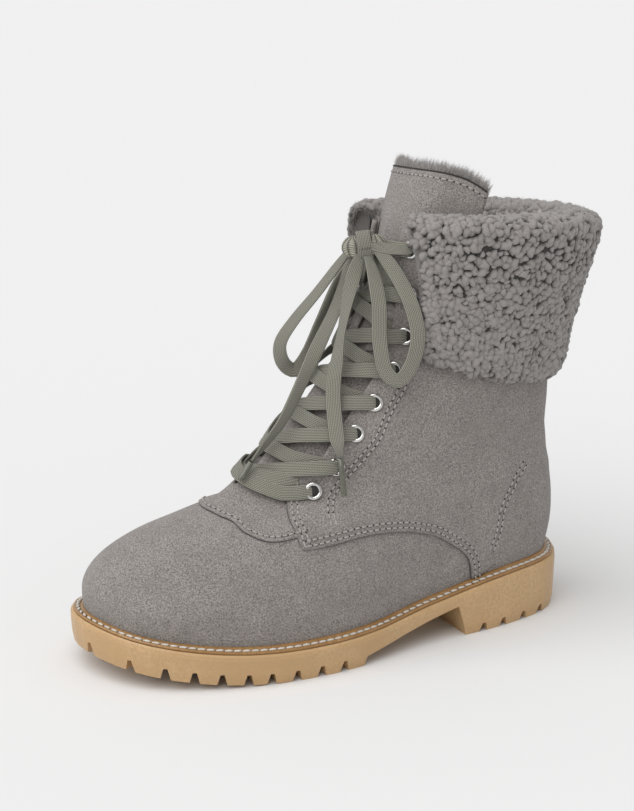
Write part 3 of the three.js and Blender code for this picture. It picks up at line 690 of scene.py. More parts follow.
def make_bow_part(name, rows):
    route = spline(rows, 90)
    centre, turn = route[:, :3], route[:, 3]
    reach = np.linspace(0, 1, len(route))
    width = LACE_WIDTH * (1 - gathered(reach, 0.35, 0.06))
    if name.startswith("loop"):
        width *= 1 - gathered(1 - reach, 0.35, 0.06)
    else:
        width *= 1 - 0.62 * smooth(0.9, 1.0, reach)
    obj = ribbon(f"bow_{name}", centre, turned_faces(centre, turn), width)
    keep(obj, "lace", f"lace_{name}")


for bow_name, bow_rows in BOW.items():
    make_bow_part(bow_name, bow_rows)


# %% The knot
# One turn of lace wrapped round the throat of the bow, over two crushed folds.
KNOT_DEEP, KNOT_TALL = 4.3, 7.4


def make_knot():
    turn = np.linspace(0, 2 * math.pi, 40, endpoint=False)
    up = unit(np.array([0.1, -0.12, 1.0]))
    out = unit(BOW_FRONT - up * (BOW_FRONT @ up))
    outward, upward = np.cos(turn)[:, None] * out, np.sin(turn)[:, None] * up
    radial = outward * KNOT_DEEP + upward * KNOT_TALL
    slope = outward / KNOT_DEEP + upward / KNOT_TALL
    wrap = ribbon("bow_knot", KNOT + radial, slope, 8.6 + 1.4 * np.sin(turn - 2.2), 1.5, closed=True)
    folds = []
    side = np.cross(out, up)
    for shift, size in ((-5.5, 0.9), (5.5, 1.0)):
        bpy.ops.mesh.primitive_uv_sphere_add(segments=24, ring_count=14, radius=1)
        fold = bpy.context.object
        co = read_points(fold) * MM
        crease = 1 + 0.12 * np.sin(5 * np.arctan2(co[:, 2], co[:, 1]) + shift)
        round_part = (co[:, 1:2] * 3.4 * out + co[:, 2:3] * 5.6 * up) * crease[:, None]
        write_points(fold, KNOT + shift * side + (co[:, :1] * 6.5 * side + round_part) * size)
        bpy.ops.object.shade_smooth()
        fold.data.uv_layers[0].name = "Weave"
        for item in fold.data.uv_layers[0].data:
            item.uv.y *= 18
        folds.append(paint(fold, lace_cloth))
    pick_only(wrap, *folds)
    bpy.ops.object.join()
    pick_none()
    return keep(wrap, "lace", "lace_knot")


make_knot()

# %% [markdown]
# ## Lacing up the front
# The lace starts with an arched bar over the two lowest eyelets and goes down into them. From
# under the edge of one facing it crosses the tongue and goes down into the next eyelet of the other
# facing, and so on up to the knot. Where it enters an eyelet it is gathered to half its width.

# %% Crossings
EYELETS = [(5.2, 2.04), (5.95, 2.03), (6.9, 2), (7.68, 1.98), (8.45, 1.96), (9.2, 1.75), (9.95, 1.35),
           (10.65, 0.98)]
THROAT_START = 5.62
FACING_EDGE = 0.34
eyelet_line = table_curve(EYELETS)


def throat_half(height):
    opening = np.sqrt(np.clip((np.asarray(height) - THROAT_START + 0.03) / 0.5, 0, 1))
    return (eyelet_line(height) - FACING_EDGE) * opening


def last_ribbon(name, stations, start, end):
    route = spline(stations, 56)
    centre = on_last(FRONT + route[:, 0], route[:, 1], route[:, 2])
    face = normals(FRONT + route[:, 0], route[:, 1])
    reach = np.linspace(0, 1, len(route))
    gather = gathered(reach, start, 0.13) + gathered(1 - reach, end, 0.13)
    return ribbon(name, centre, face, LACE_WIDTH * (1 - 0.5 * gather))


def into_eyelet(side, row, step=1):
    """The last stations of a stretch: over the eyelet's rim and down its hole."""
    height, start = EYELETS[row]
    return [(side * (start - 0.42), height, 2.9), (side * (start - 0.16), height, 2.6),
            (side * start, height, 0.9), (side * (start + 0.05), height, -2.0)][::step]


def make_crossing(row, side):
    low, high = EYELETS[row][0], EYELETS[row + 1][0]
    edge = float(throat_half(max(low + 0.15, 6.0)))
    lift = 0.9 if side < 0 else -0.4
    base = mix(low, high, 0.1)
    stations = [(side * (edge + 0.3), base, -2.2), (side * (edge - 0.1), mix(low, high, 0.2), -1.2 + lift),
                (side * 0.35 * edge, mix(low, high, 0.6 + 0.06 * side), 0.6 + lift),
                (-side * 0.45 * edge, mix(low, high, 0.85 + 0.1 * side), 1.2 + lift)] + into_eyelet(-side, row + 1)
    if row == 0:
        stations[0] = (side * (edge + 0.1), 5.6, 0.6)
        stations[1] = (side * (edge - 0.25), 5.68, 1.6 + lift)
        stations[2] = (side * 0.35 * edge, 5.76, 2.0 + lift)
    return last_ribbon(f"lace_band_{row + 1}_{'medial' if side > 0 else 'lateral'}", stations, 0.25, 1)


def join_pieces(name, pieces):
    pick_only(*pieces)
    bpy.ops.object.join()
    obj = bpy.context.object
    obj.name = name
    pick_none()
    return obj


bar_middle = [(-1.1, 5.46, 3.1), (0.0, 5.74, 4.0), (0.9, 5.78, 4.2), (1.45, 5.5, 3.8)]
bar = last_ribbon("lacing_bar", into_eyelet(-1, 0, -1) + bar_middle + into_eyelet(1, 0), 1, 1)
keep(bar, "lace", "lace_bar")
for row in range(len(EYELETS) - 1):
    pair = join_pieces(f"lacing_{row + 1}", [make_crossing(row, 1), make_crossing(row, -1)])
    keep(pair, "lace", f"lace_cross_{row + 1}")

# %% From the top eyelets to the knot
tops = []
for side, name in ((-1, "lateral"), (1, "medial")):
    height, start = EYELETS[-1]
    hole, rim = (on_last(FRONT + side * start, height, d)[0] for d in (-1.5, 3.2))
    middle = mix(rim, KNOT, 0.5) + BOW_FRONT * 1.5
    route = spline([hole, mix(hole, rim, 0.7), rim, middle, KNOT - [1.5, 0, -1.0]], 40)
    face = np.tile(BOW_FRONT + np.array([0, 0, 0.5]), (len(route), 1))
    reach = np.linspace(0, 1, len(route))
    tops.append(ribbon(f"lace_to_knot_{name}", route, face, 6.4 * (1 - gathered(reach, 0.35, 0.3))))
keep(join_pieces("lacing_top", tops), "lace", "lace_top")

# %% [markdown]
# ## Floor and light
# A pale floor runs far past the edges. One wide, soft sun from above the toe gives the boot its
# shape and a faint shadow by the sole, and an even sky fills the rest.

# %% Floor, sun and sky
SUN_FROM = Vector((1.9, 0.7, 3.0))
SUN_STRENGTH, SUN_SOFTNESS = 2.15, math.radians(70)
SKY_STRENGTH = 0.5
bpy.ops.mesh.primitive_plane_add(size=30, location=(0, 0, 0))
floor = bpy.context.object
floor.name = "floor"
floor_paint, tree, shader, _ = new_material("floor")
set_values(shader, dict(Base_Color=rgba(0.82, 0.82, 0.82), Roughness=1.0, Specular_IOR_Level=0.0))
paint(floor, floor_paint)

bpy.ops.object.light_add(type="SUN", location=SUN_FROM)
sun = bpy.context.object
sun.name = "key"
sun.rotation_euler = SUN_FROM.to_track_quat("Z", "Y").to_euler()
sun.data.energy = SUN_STRENGTH
sun.data.angle = SUN_SOFTNESS
world = bpy.data.worlds.new("sky")
world.use_nodes = True
sky = world.node_tree.nodes["Background"]
sky.inputs[0].default_value = rgba(1, 1, 1)
sky.inputs[1].default_value = SKY_STRENGTH
bpy.context.scene.world = world
bpy.context.scene.view_settings.view_transform = "Standard"
pick_none()

# %% [markdown]
# ## Suede upper
# The upper is one sheet round the last, open down the front. Its soft creases are troughs and
# ridges: each is a line of places on the last, with a half width and a depth.

# %% Creases
# (index, height) places, half width in steps of the height index, depth in mm (minus for a trough)
CREASES = [
    ([(5.6, 5.9), (4.8, 5.25), (3.9, 5.0), (3.1, 5.2)], 0.34, -0.75),
    ([(5.0, 6.35), (4.3, 6.05), (3.5, 6.1)], 0.3, -0.55),
    ([(3.6, 4.4), (2.9, 4.2), (2.3, 4.4)], 0.4, 0.7),
    ([(2.6, 5.7), (1.9, 5.4), (1.1, 5.6)], 0.45, -0.7),
    ([(2.2, 3.1), (1.6, 3.4), (0.9, 3.3)], 0.4, 0.55),
    ([(4.4, 4.0), (3.9, 3.6), (3.3, 3.5)], 0.35, 0.6),
    ([(6.9, 3.9), (6.2, 3.5), (5.5, 3.0)], 0.4, 0.5),
    ([(3.2, 7.1), (2.4, 6.7), (1.6, 6.8)], 0.4, 0.55),
    ([(8.4, 5.9), (9.3, 5.3), (10.2, 5.0)], 0.34, -0.75),
    ([(9.6, 6.4), (10.4, 6.1), (11.2, 6.2)], 0.35, 0.55),
    ([(11.4, 5.6), (12.2, 5.4), (12.9, 5.6)], 0.4, -0.65),
    ([(10.0, 4.2), (10.8, 3.9), (11.7, 4.1)], 0.4, 0.6),
]


def relief(index, height):
    """Soft creases of the suede, in mm off the last."""
    index = np.mod(np.asarray(index, float), ENTRIES)
    height = np.asarray(height, float)
    total = np.zeros(np.broadcast(index, height).shape)
    for line, half, depth in CREASES:
        spots = spline(line, 24)
        reach = (index[..., None] - spots[:, 0]) ** 2 * 0.5 + ((height[..., None] - spots[:, 1]) / half) ** 2
        ends = np.sin(np.linspace(0.25, math.pi - 0.25, 24))
        total = total + depth * np.max(np.exp(-reach) * ends, axis=-1)
    return total * smooth(0.2, 1.4, height)


def suede_point(index, height, distance=0.0):
    index, height, distance = level_arrays(index, height, distance)
    return on_last(index, height, distance + relief(index, height))


# %% The sheet
SUEDE_THICK, TONGUE_THICK, STRAP_THICK = 2.2, 1.8, 1.4
LINING_THICK, TONGUE_WOOL_THICK, FOOTBED_THICK = 1.0, 3.4, 7.0


def shell(name, place, columns, rows, thickness, weld=False):
    """A laid grid made thick inwards; weld closes it where its two sides meet."""
    obj = laid_grid(name, columns, rows, place)
    if weld:
        apply_modifier(obj, "WELD", merge_threshold=0.05 * MM)
    apply_modifier(obj, "SOLIDIFY", thickness=thickness * MM, offset=1.0, use_even_offset=False)
    return finish_mesh(obj)


def even_depth(obj, value):
    put_attribute(obj, "depth", np.full(len(obj.data.vertices), value))
    return obj


def front_index(u, height):
    """u from 0 to 1 runs from one edge of the throat round the heel to the other."""
    return (2 * u - 1) * (FRONT - throat_half(height))


def upper_place(u, v):
    height = COLLAR * v
    return suede_point(front_index(u, height), height)


upper = shell("upper_suede", upper_place, 230, 88, SUEDE_THICK, weld=True)
keep(paint(upper, suede), "suede", "upper")

# %% Wool lining inside it
def lining_place(u, v):
    height = 0.25 + (COLLAR - 0.2) * v
    index = front_index(0.008 + 0.984 * u, height)
    bumps = np.array([noise.noise(Vector((a * 9, b * 7, 0))) for a, b in zip(index, height)])
    return on_last(index, height, -2.6 - (wall_at(index, height) - 2.8) * (0.85 + 0.15 * bumps))


lining = even_depth(shell("lining_wool", lining_place, 120, 50, LINING_THICK), 0.55)
keep(paint(lining, lining_wool), "lining")

# %% [markdown]
# ## Laid-on panels
# The quarters and the lobe over the toe are second layers of suede. Only their cut edges show, so
# each is a band that stands 1.5 mm proud at the edge and sinks into the sheet. The heel counter
# shows only by its stitches.

# %% Walking inward from an edge
def walk(index, height, distance, side):
    """Moves a line sideways over the last; side is +1 for its left and -1 for its right."""
    index, height = np.array(index, float), np.array(height, float)
    steps = max(1, int(math.ceil(abs(distance) / 1.5)))
    for _ in range(steps):
        here = surface(index, height)
        around = (surface(index + 0.03, height) - surface(index - 0.03, height)) / 0.06
        up = (surface(index, height + 0.03) - surface(index, height - 0.03)) / 0.06
        along = np.gradient(here, axis=0)
        out = normals(index, height)
        way = unit(side * np.cross(out, along))
        a, b, c = (around * around).sum(1), (around * up).sum(1), (up * up).sum(1)
        p, q = (around * way).sum(1), (up * way).sum(1)
        det = a * c - b * b
        step = distance / steps
        index = index + step * (p * c - q * b) / det
        height = np.maximum(height + step * (q * a - p * b) / det, 0.03)
    return index, height


def line_on_last(points, pitch):
    """(index, height) places at an even pitch in mm along a given line."""
    fine = spline(points, 240)
    length = run_length(surface(fine[:, 0], fine[:, 1]))
    at = np.linspace(0, length[-1], max(4, int(round(length[-1] / pitch))))
    return np.interp(at, length, fine[:, 0]), np.interp(at, length, fine[:, 1])


# the darkness column marks the cut edge: partly its own dark colour, partly painted shade
BAND = [(0.0, -0.9, 1), (0.0, 0.3, 1), (0.05, 1.05, 1), (0.5, 1.42, 0.25), (1.3, 1.5, 0), (2.8, 1.48, 0),
        (4.5, 1.42, 0), (6.5, 1.3, 0), (9, 1.08, 0), (12, 0.75, 0), (15, 0.35, 0), (18, -0.05, 0), (21, -0.5, 0),
        (21, -1.2, 0), (10, -1.2, 0), (1, -1.2, 0)]


def band(name, points, side, scale=1.0, lift=1.0):
    """A panel's edge as a band: distance in from the edge, height off the last, darkness (own dark edge colour
    plus painted shade).
    """
    index, height = line_on_last(points, 1.9)
    rows, dark = [], []
    for distance, off, edge in BAND:
        i, h = walk(index, height, distance * scale, side) if distance else (index, height)
        rows.append(suede_point(i, h, off * (lift if off > 0 else 1)))
        dark.append(edge)
    obj = ring_sweep(name, np.stack(rows, axis=1))
    put_attribute(obj, "edge", np.tile(dark, len(index)))
    return keep(paint(obj, suede), "suede")


def mirrored(points):
    return [(ENTRIES - i, h) for i, h in points]


LOBE = [(7, 4.75), (5.84, 4.4), (5.28, 3.75), (4.96, 3.4), (4.76, 3.3), (4.5, 3.4)]
QUARTER = [(5.84, 6.05), (5.56, 5.6), (5.36, 5.2), (5.04, 4.55), (4.68, 3.6), (4.5, 2.98), (4.4, 2.84),
           (4.08, 2.9), (3.88, 2.95), (3.64, 2.9), (3.36, 2.7), (3.16, 2.45), (2.96, 2.15), (2.72, 1.6),
           (2.56, 1.15), (2.48, 0.75), (2.45, 0.26)]
lobe_line = LOBE[::-1] + mirrored(LOBE)[1:]
band("toe_lobe", lobe_line, -1, 0.6, 0.8)
band("quarter_lateral", QUARTER, 1)
band("quarter_medial", mirrored(QUARTER), -1)

# a narrow strip over the seam up the back of the heel, darkened all over: painted shade for its shadowed side
seam_height = np.linspace(2.7, 8.9, 60)
seam = [suede_point(np.full(60, i), seam_height, off) for i, off in
        ((-0.055, -0.8), (-0.055, 0.35), (-0.03, 0.75), (0.03, 0.75), (0.055, 0.35), (0.055, -0.8))]
seam_strip = ring_sweep("back_seam", np.stack(seam, axis=1))
# edge 0.85 darkens the whole strip: painted shade
put_attribute(seam_strip, "edge", np.full(len(seam_strip.data.vertices), 0.85))
keep(paint(seam_strip, suede), "suede")


# %% Stitches
# Each stitch is a short thread sunk into the suede, with a needle hole at its end: a sunk near-black bead, painted
# shade.
def ball_template(name, detail):
    bpy.ops.mesh.primitive_ico_sphere_add(subdivisions=detail, radius=1)
    obj = bpy.context.object
    obj.name = name
    write_points(obj, read_points(obj) * MM)
    return obj


STITCH_PITCH = 3.5
THREAD_SIZE, NEEDLE_SIZE = (1.45, 0.5, 0.45), (0.62, 0.5, 0.28)
stitch_shape = ball_template("stitch", 2)
hole_shape = ball_template("hole", 1)
thread_rows, hole_rows = [], []


def note_stitches(place, out, sink):
    """Threads at every second place, and the needle holes between them."""
    along = np.gradient(place, axis=0)
    thread_rows.append((place[1::2], out[1::2], along[1::2]))
    hole_rows.append((place[0::2] - out[0::2] * sink, out[0::2], along[0::2]))


def stitch_row(points, side, inset, off):
    """Notes the stitches of one row, in from a line by a distance in mm."""
    index, height = line_on_last(points, STITCH_PITCH / 2)
    if inset:
        index, height = walk(index, height, inset, side)
    note_stitches(suede_point(index, height, off + 0.26), normals(index, height), 0.18)


def lay_rows(name, rows, template, size, material, slot):
    place, out, along = (np.vstack(column) for column in zip(*rows))
    obj = scatter(name, template, place, frames_from(out, along), size)
    return keep(paint(obj, material), slot)


FACING_ROW = [(4.68, 9.4), (4.66, 8.6), (4.64, 7.8), (4.62, 7.35), (4.56, 6.7), (4.6, 6.2), (4.64, 5.65),
              (4.6, 5.0), (4.52, 4.6), (4.24, 3.55), (4.2, 3.2)]
COUNTER_ROW = [(2.16, 0.8), (2.08, 1.35), (2.04, 2.2), (1.92, 2.8), (1.8, 3.35), (1.64, 3.8)]
# each line is stitched twice on each side of the boot: (distance in, height off the suede) in mm
for line, side, rows in ((QUARTER, 1, ((2.6, 1.48), (5.4, 1.36))), (FACING_ROW, -1, ((0, 0.25), (2.7, 0.25))),
                         (COUNTER_ROW, 1, ((0, 0.0), (3.0, 0.0)))):
    for points, way in ((line, side), (mirrored(line), -side)):
        for inset, off in rows:
            stitch_row(points, way, inset, off)
stitch_row(lobe_line, -1, 2.6, 1.15)

# %% [markdown]
# ## Eyelets
# Each eyelet is a rounded nickel ring pressed into the suede round a hole, with a near-black disc in it: painted
# shade.

# %% Rings and holes
RING_RADIUS, RING_WIRE = 3.75, 1.0
HOLE_RADIUS = 2.9
for row, (height, start) in enumerate(EYELETS):
    for side, name in ((-1, "lateral"), (1, "medial")):
        index = FRONT + side * start
        lift = 1.9 if row == 0 else 0.95
        centre = on_last(index, height, lift)[0]
        out = normals(index, height)[0]
        turn = Vector(out).to_track_quat("Z", "Y").to_euler()
        bpy.ops.mesh.primitive_torus_add(major_segments=36, minor_segments=14, major_radius=RING_RADIUS * MM,
                                         minor_radius=RING_WIRE * MM)
        ring = bpy.context.object
        write_points(ring, read_points(ring) * [1, 1, 0.85])
        # a near-black disc down in the hole: painted shade
        bpy.ops.mesh.primitive_cylinder_add(vertices=28, radius=HOLE_RADIUS * MM, depth=1.2 * MM)
        well = bpy.context.object
        write_points(well, read_points(well) - [0, 0, 0.62])
        well.data.materials.append(hole_shade_and_dark_edge)
        for item in (ring, well):
            item.rotation_euler = turn
            item.location = Vector(centre) * MM
        ring.data.materials.append(nickel)
        pick_only(ring, well)
        bpy.ops.object.transform_apply(location=True, rotation=True, scale=True)
        bpy.ops.object.join()
        bpy.ops.object.shade_smooth()
        ring.name = f"eyelet_ring_{name}_{row + 1}"
        pick_none()
        keep(ring, "nickel", f"eyelet_{name}_{row + 1}")

# %% [markdown]
# ## Tongue
# Suede on the front, wool on the back, with a stitched dark edge at the top and a fringe above it.

# %% Tongue sheets
TONGUE_FOOT, TONGUE_TOP = 5.45, 11.95


def tongue_place(off, lengthen=0.0):
    def place(u, v):
        q = 2 * u - 1
        height = mix(TONGUE_FOOT, TONGUE_TOP + lengthen, v)
        behind_facings = np.minimum(throat_half(height) + 0.45, 2.1)
        half = np.maximum(mix(1.2, 2.45, smooth(5.7, 8.2, height)), behind_facings)
        droop = 0.42 * np.abs(q) ** 3 * smooth(11.2, TONGUE_TOP, height)
        index = FRONT + q * half
        height = height - droop
        wave = 0.5 * np.sin(index * 3.1 + height * 2.3) * smooth(6.5, 8, height)
        return on_last(index, height, -wall_at(index, height) - 0.6 + off + wave)
    return place


keep(paint(shell("tongue_suede", tongue_place(0), 60, 90, TONGUE_THICK), suede), "suede", "tongue")
tongue_wool = even_depth(shell("tongue_wool", tongue_place(-1.9, 0.06), 60, 90, TONGUE_WOOL_THICK), 0.8)
keep(paint(tongue_wool, soft_wool), "wool")


EDGE_STEPS, ROW_STEPS = 64, 58
RIM_THICK, RIM_TALL = 1.1, 0.55


def tongue_row(inset, off):
    """Points across the tongue, down from its top edge by an inset in mm."""
    u = np.linspace(0.01, 0.99, EDGE_STEPS)
    edge = tongue_place(off)(u, np.full(EDGE_STEPS, 1.0))
    below = tongue_place(off)(u, np.full(EDGE_STEPS, 0.93))
    return edge + unit(below - edge) * inset


# the cut edge of the suede as a near-black cord, its own dark colour plus painted shade, and the row of stitches
# under it
edge_path = tongue_row(-0.1, -0.7)
out = normals(FRONT + np.linspace(-2.4, 2.4, EDGE_STEPS), 11.7)
along = tangents(edge_path)
up = np.cross(out, along)
ang = np.linspace(0, 2 * math.pi, 10, endpoint=False)
rim = ring_sweep("tongue_edge", edge_path[:, None] + out[:, None] * (np.cos(ang) * RIM_THICK)[None, :, None]
                 + up[:, None] * (np.sin(ang) * RIM_TALL)[None, :, None])
keep(paint(rim, hole_shade_and_dark_edge), "suede")
row_path = spline(tongue_row(3.0, 0.15), ROW_STEPS)
note_stitches(row_path, normals(FRONT + np.linspace(-2.4, 2.4, ROW_STEPS), 11.6), 0.1)

# %% The keeper: an upright strap on the tongue that the lace passes under
def keeper_place(u, v):
    q, height = 2 * u - 1, mix(9.1, 10.2, v)
    arch = 2.4 * np.sin(np.pi * v) ** 0.5 * (1 - 0.15 * q * q)
    index = FRONT + q * 0.26
    return on_last(index, height, -wall_at(index, height) - 0.3 + arch)


keep(paint(shell("keeper_strap", keeper_place, 16, 24, STRAP_THICK), suede), "suede", "lace_keeper")
for q in (0.18, 0.82):
    path = keeper_place(np.full(18, q), np.linspace(0.06, 0.94, 18))
    out = normals(np.full(18, FRONT), np.linspace(9.2, 10.1, 18))
    thread_rows.append((path[1::2] + out[1::2] * 0.1, out[1::2], np.gradient(path, axis=0)[1::2]))

lay_rows("stitches", thread_rows, stitch_shape, THREAD_SIZE, grey_thread, "thread_grey")
# the needle holes are near-black beads: painted shade
lay_rows("needle_holes", hole_rows, hole_shape, NEEDLE_SIZE, hole_shade_and_dark_edge, "thread_grey")

# %% [markdown]
# ## Wool cuff
# The shaft's lining folds over the collar and hangs down outside it. A lumpy closed sleeve gives
# its bulk, and small curls of wool are packed all over it. At the fold, the hem and the open
# edges the wool is brushed out soft.

# %% The sleeve
CUFF_PROFILE = table_curve([(0, 4), (0.06, 7), (0.3, 9), (0.65, 10.5), (0.9, 12), (1, 11.5)])
CUFF_EDGE = table_curve([(7.5, 2.3), (9.2, 2.08), (9.95, 1.68), (10.65, 1.28), (11, 1.0)])


FOLD_OFF, FOLD_RISE, FOLD_START = 11.5, 6.6, 0.86
OUTER_RINGS = 41


def cuff_level(q, h):
    hem = mix(7.65, 9.0, smooth(1.6, 6.2, np.abs(q) * 5))
    return mix(hem, 11.0, h)


def cuff_point(q, h, off):
    q, h, off = level_arrays(q, h, off)
    height = cuff_level(q, np.clip(h, 0, 1))
    index = q * (FRONT - CUFF_EDGE(height))
    return on_last(index, height, off)


def cuff_out(q, h):
    height = cuff_level(q, h)
    return normals(q * (FRONT - CUFF_EDGE(height)), height)


def cuff_off(q, h):
    ease = mix(mix(0.7, 1, smooth(0.05, 0.45, np.abs(q))), 1, h)
    return CUFF_PROFILE(h) * ease


def cuff_loop(q):
    """One ring round the cuff's section: up the outside, over the fold, down inside."""
    h = np.linspace(0, 1, 34)
    rows = [cuff_point(q, np.full_like(q, level), cuff_off(q, np.full_like(q, level))) for level in h]
    top = cuff_level(q, 1.0)
    wall = wall_at(q * (FRONT - CUFF_EDGE(top)), top)
    for off, rise in ((10.6, 2.6), (8.9, 4.9), (6.6, 6.1), (4, 6.6), (1.2, 6.3), (-1.6, 5.6), (-3.8, 4.4)):
        off = off if off > 0 else off * wall / 7
        rows.append(cuff_point(q, np.ones_like(q), off) + [0, 0, rise])
    for rise, share in ((2.6, 0.9), (0.9, 0.7), (0.9, 0.3), (1.2, 0.0)):
        rows.append(cuff_point(q, np.ones_like(q), -share * wall + (1.2 if share == 0 else 0)) + [0, 0, rise])
    for level in (0.97, 0.8, 0.6, 0.4, 0.2, 0.06, 0.0):
        rows.append(cuff_point(q, np.full_like(q, level), np.full_like(q, 1.2)))
    return np.stack(rows, axis=1)


cuff_q = np.linspace(-1, 1, 240)
loops = cuff_loop(cuff_q)
# the open ends are rounded by drawing the last rings in
for k, share in ((0, 0.35), (1, 0.72), (2, 0.9), (-1, 0.35), (-2, 0.72), (-3, 0.9)):
    core = loops[k].copy()
    core[:OUTER_RINGS] = mix(core[::-1][:OUTER_RINGS].copy(), core[:OUTER_RINGS], 0.5)
    loops[k] = mix(core, loops[k], share)
lump = np.array([[noise.voronoi(Vector(p * 0.24))[0][0] for p in ring] for ring in loops[:, :OUTER_RINGS]])
out = cuff_out(cuff_q, np.full_like(cuff_q, 0.6))
loops[:, :OUTER_RINGS] += out[:, None] * (0.3 - 1.4 * np.clip(lump[..., None] - 0.25, 0, 1))
cuff = ring_sweep("cuff_sleeve", loops)
# the sleeve's outside shows between the curls and gets the dark root colour: painted shade for those gaps
depth = np.full(loops.shape[:2], 0.12)
depth[:, OUTER_RINGS:] = 0.62
depth[:4] = depth[-4:] = 0.55
put_attribute(cuff, "depth", depth.ravel())
keep(paint(cuff, curly_wool), "wool", "cuff")


# %% Curls
curl_shape = ball_template("curl", 2)
co = read_points(curl_shape)
co[:, 0] *= 1.3
co[:, 1] += 0.35 * co[:, 0] ** 2 - 0.2
write_points(curl_shape, co)


def spread_points(count, seed, low, high):
    """Even but irregular places: an offset lattice, shaken."""
    pick = np.random.default_rng(seed)
    k = np.arange(count)
    a = (k * 0.754877666 + 0.5) % 1
    b = (k * 0.569840296 + 0.5) % 1
    return mix(low, high, a) + pick.normal(0, 0.003, count), np.clip(b + pick.normal(0, 0.008, count), 0.0, 1)


def cuff_surface(q, t):
    """t from 0 at the hem to 1 at the crest of the fold, then down its inner side."""
    h = np.clip(t / FOLD_START, 0, 1)
    base = cuff_point(q, h, cuff_off(q, h))
    out = cuff_out(q, h)
    over = np.clip((t - FOLD_START) / (1 - FOLD_START), 0, 2)
    angle = over * math.pi / 2
    level = cuff_level(q, 1.0)
    inner = 0.9 * wall_at(q * (FRONT - CUFF_EDGE(level)), level)
    crest = cuff_point(q, np.ones_like(q), (FOLD_OFF - inner) / 2)
    up = np.array([0, 0, 1.0])
    outward, upward = out * np.cos(angle)[:, None], up * np.sin(angle)[:, None]
    arc = crest + outward * ((FOLD_OFF + inner) / 2)[:, None] + upward * FOLD_RISE
    turned = outward + upward
    folded = (over > 0)[:, None]
    return np.where(folded, arc, base), np.where(folded, turned, out)


CURLS_END = 1.17


def curls(name, count, seed, low, high):
    pick = np.random.default_rng(seed + 50)
    q, t = spread_points(count, seed, low, high)
    t = t * CURLS_END
    place, out = cuff_surface(q, t)
    spin = pick.normal(size=(count, 3))
    size = pick.uniform(1.45, 2.6, count)
    fold = smooth(0.9, 1.0, t)
    place = place + out * pick.uniform(-0.6, 0.6, count)[:, None] - out * (0.4 * fold)[:, None]
    scales = np.column_stack([size, size * 0.92, size * pick.uniform(0.75, 1.05, count)])
    obj = scatter(name, curl_shape, place, frames_from(out, spin), scales)
    # each curl is darker at its base and lighter at its crown, painted shade; its tone varies at random; near the
    # fold curls are lighter, partly paler brushed wool, partly painted light on the crest
    local = np.tile(read_points(curl_shape)[:, 2], count)
    shade = np.repeat(pick.uniform(-0.16, 0.16, count) + 0.25 * fold, len(curl_shape.data.vertices))
    put_attribute(obj, "depth", np.clip(0.36 + 0.64 * local + shade, 0, 1))
    return keep(paint(obj, curly_wool), "wool")


HALF_CURLS = 2200
curls("cuff_curls_lateral", HALF_CURLS, 3, 0.0, 0.995)
curls("cuff_curls_medial", HALF_CURLS, 4, -0.995, 0.0)

# %% Brushed-out wool at the fold, the hem and the edges
bpy.ops.mesh.primitive_cone_add(vertices=3, radius1=1, depth=2)
hair_shape = bpy.context.object
hair_shape.name = "hair"
write_points(hair_shape, read_points(hair_shape) * MM + [0, 0, 0.8])


def hairs(name, place, out, seed, length, thick, lean, material=soft_wool, tone=(0.4, 1.0)):
    pick = np.random.default_rng(seed)
    count = len(place)
    way = unit(out) + pick.normal(0, lean, (count, 3))
    scales = np.column_stack([np.full(count, thick)] * 2 + [pick.uniform(0.5, 1, count) * length / 2])
    obj = scatter(name, hair_shape, place, frames_from(way, pick.normal(size=(count, 3))), scales)
    # each hair is darker at its root, painted shade; its tone varies at random
    tip = np.tile((read_points(hair_shape)[:, 2] + 0.2) / 2, count)
    shade = np.repeat(pick.uniform(*tone, count), len(hair_shape.data.vertices))
    put_attribute(obj, "depth", np.clip(shade - 0.25 * (1 - tip), 0, 1))
    return keep(paint(obj, material), "wool")


MANY, FEWER = 9000, 5200
pick = np.random.default_rng(12)
q = pick.uniform(-1, 1, MANY)
t = np.clip(pick.normal(1.05, 0.07, MANY), 0.9, 1.3)
place, out = cuff_surface(q, t)
hairs("fold_fuzz", place - out * 0.8, out + [0, 0, 0.5], 21, 4.6, 0.16, 0.7)
q = pick.uniform(-1, 1, FEWER)
t = pick.uniform(0.0, 0.035, FEWER)
place, out = cuff_surface(q, t)
hairs("hem_fuzz", place - out * 1.5, out * 0.6 + [0, 0, -1], 22, 4.6, 0.16, 0.6, curly_wool, (0.5, 1.0))
side = np.sign(pick.uniform(-1, 1, FEWER))
t = pick.uniform(0.02, 1.1, FEWER)
place, out = cuff_surface(side * pick.uniform(0.985, 1.0, FEWER), t)
front = np.column_stack([np.ones(FEWER), -0.4 * side, np.zeros(FEWER)])
hairs("edge_fuzz", place - out * 2.2, out + front, 23, 5.5, 0.16, 0.7)
q = pick.uniform(-1, 1, MANY)
t = pick.uniform(0.05, 1.0, MANY)
place, out = cuff_surface(q, t)
hairs("cuff_fuzz", place + out * 0.9, out, 24, 2.6, 0.09, 1.3, curly_wool, (0.6, 1.0))

# %% Fringe over the tongue
u = pick.uniform(0.0, 1.0, FEWER)
v = pick.uniform(0.975, 1.0, FEWER)
base = tongue_place(-2.8)(u, v)
lower = tongue_place(-2.8)(u, v - 0.05)
way = unit(base - lower) + (u - 0.5)[:, None] * [0, -0.5, 0]
deep = normals(FRONT + (2 * u - 1) * 2.4, 11.6) * pick.uniform(-1.6, 1.4, FEWER)[:, None]
hairs("tongue_fringe", base + deep, way, 25, 9.5, 0.2, 0.16, soft_wool, (0.45, 1.0))

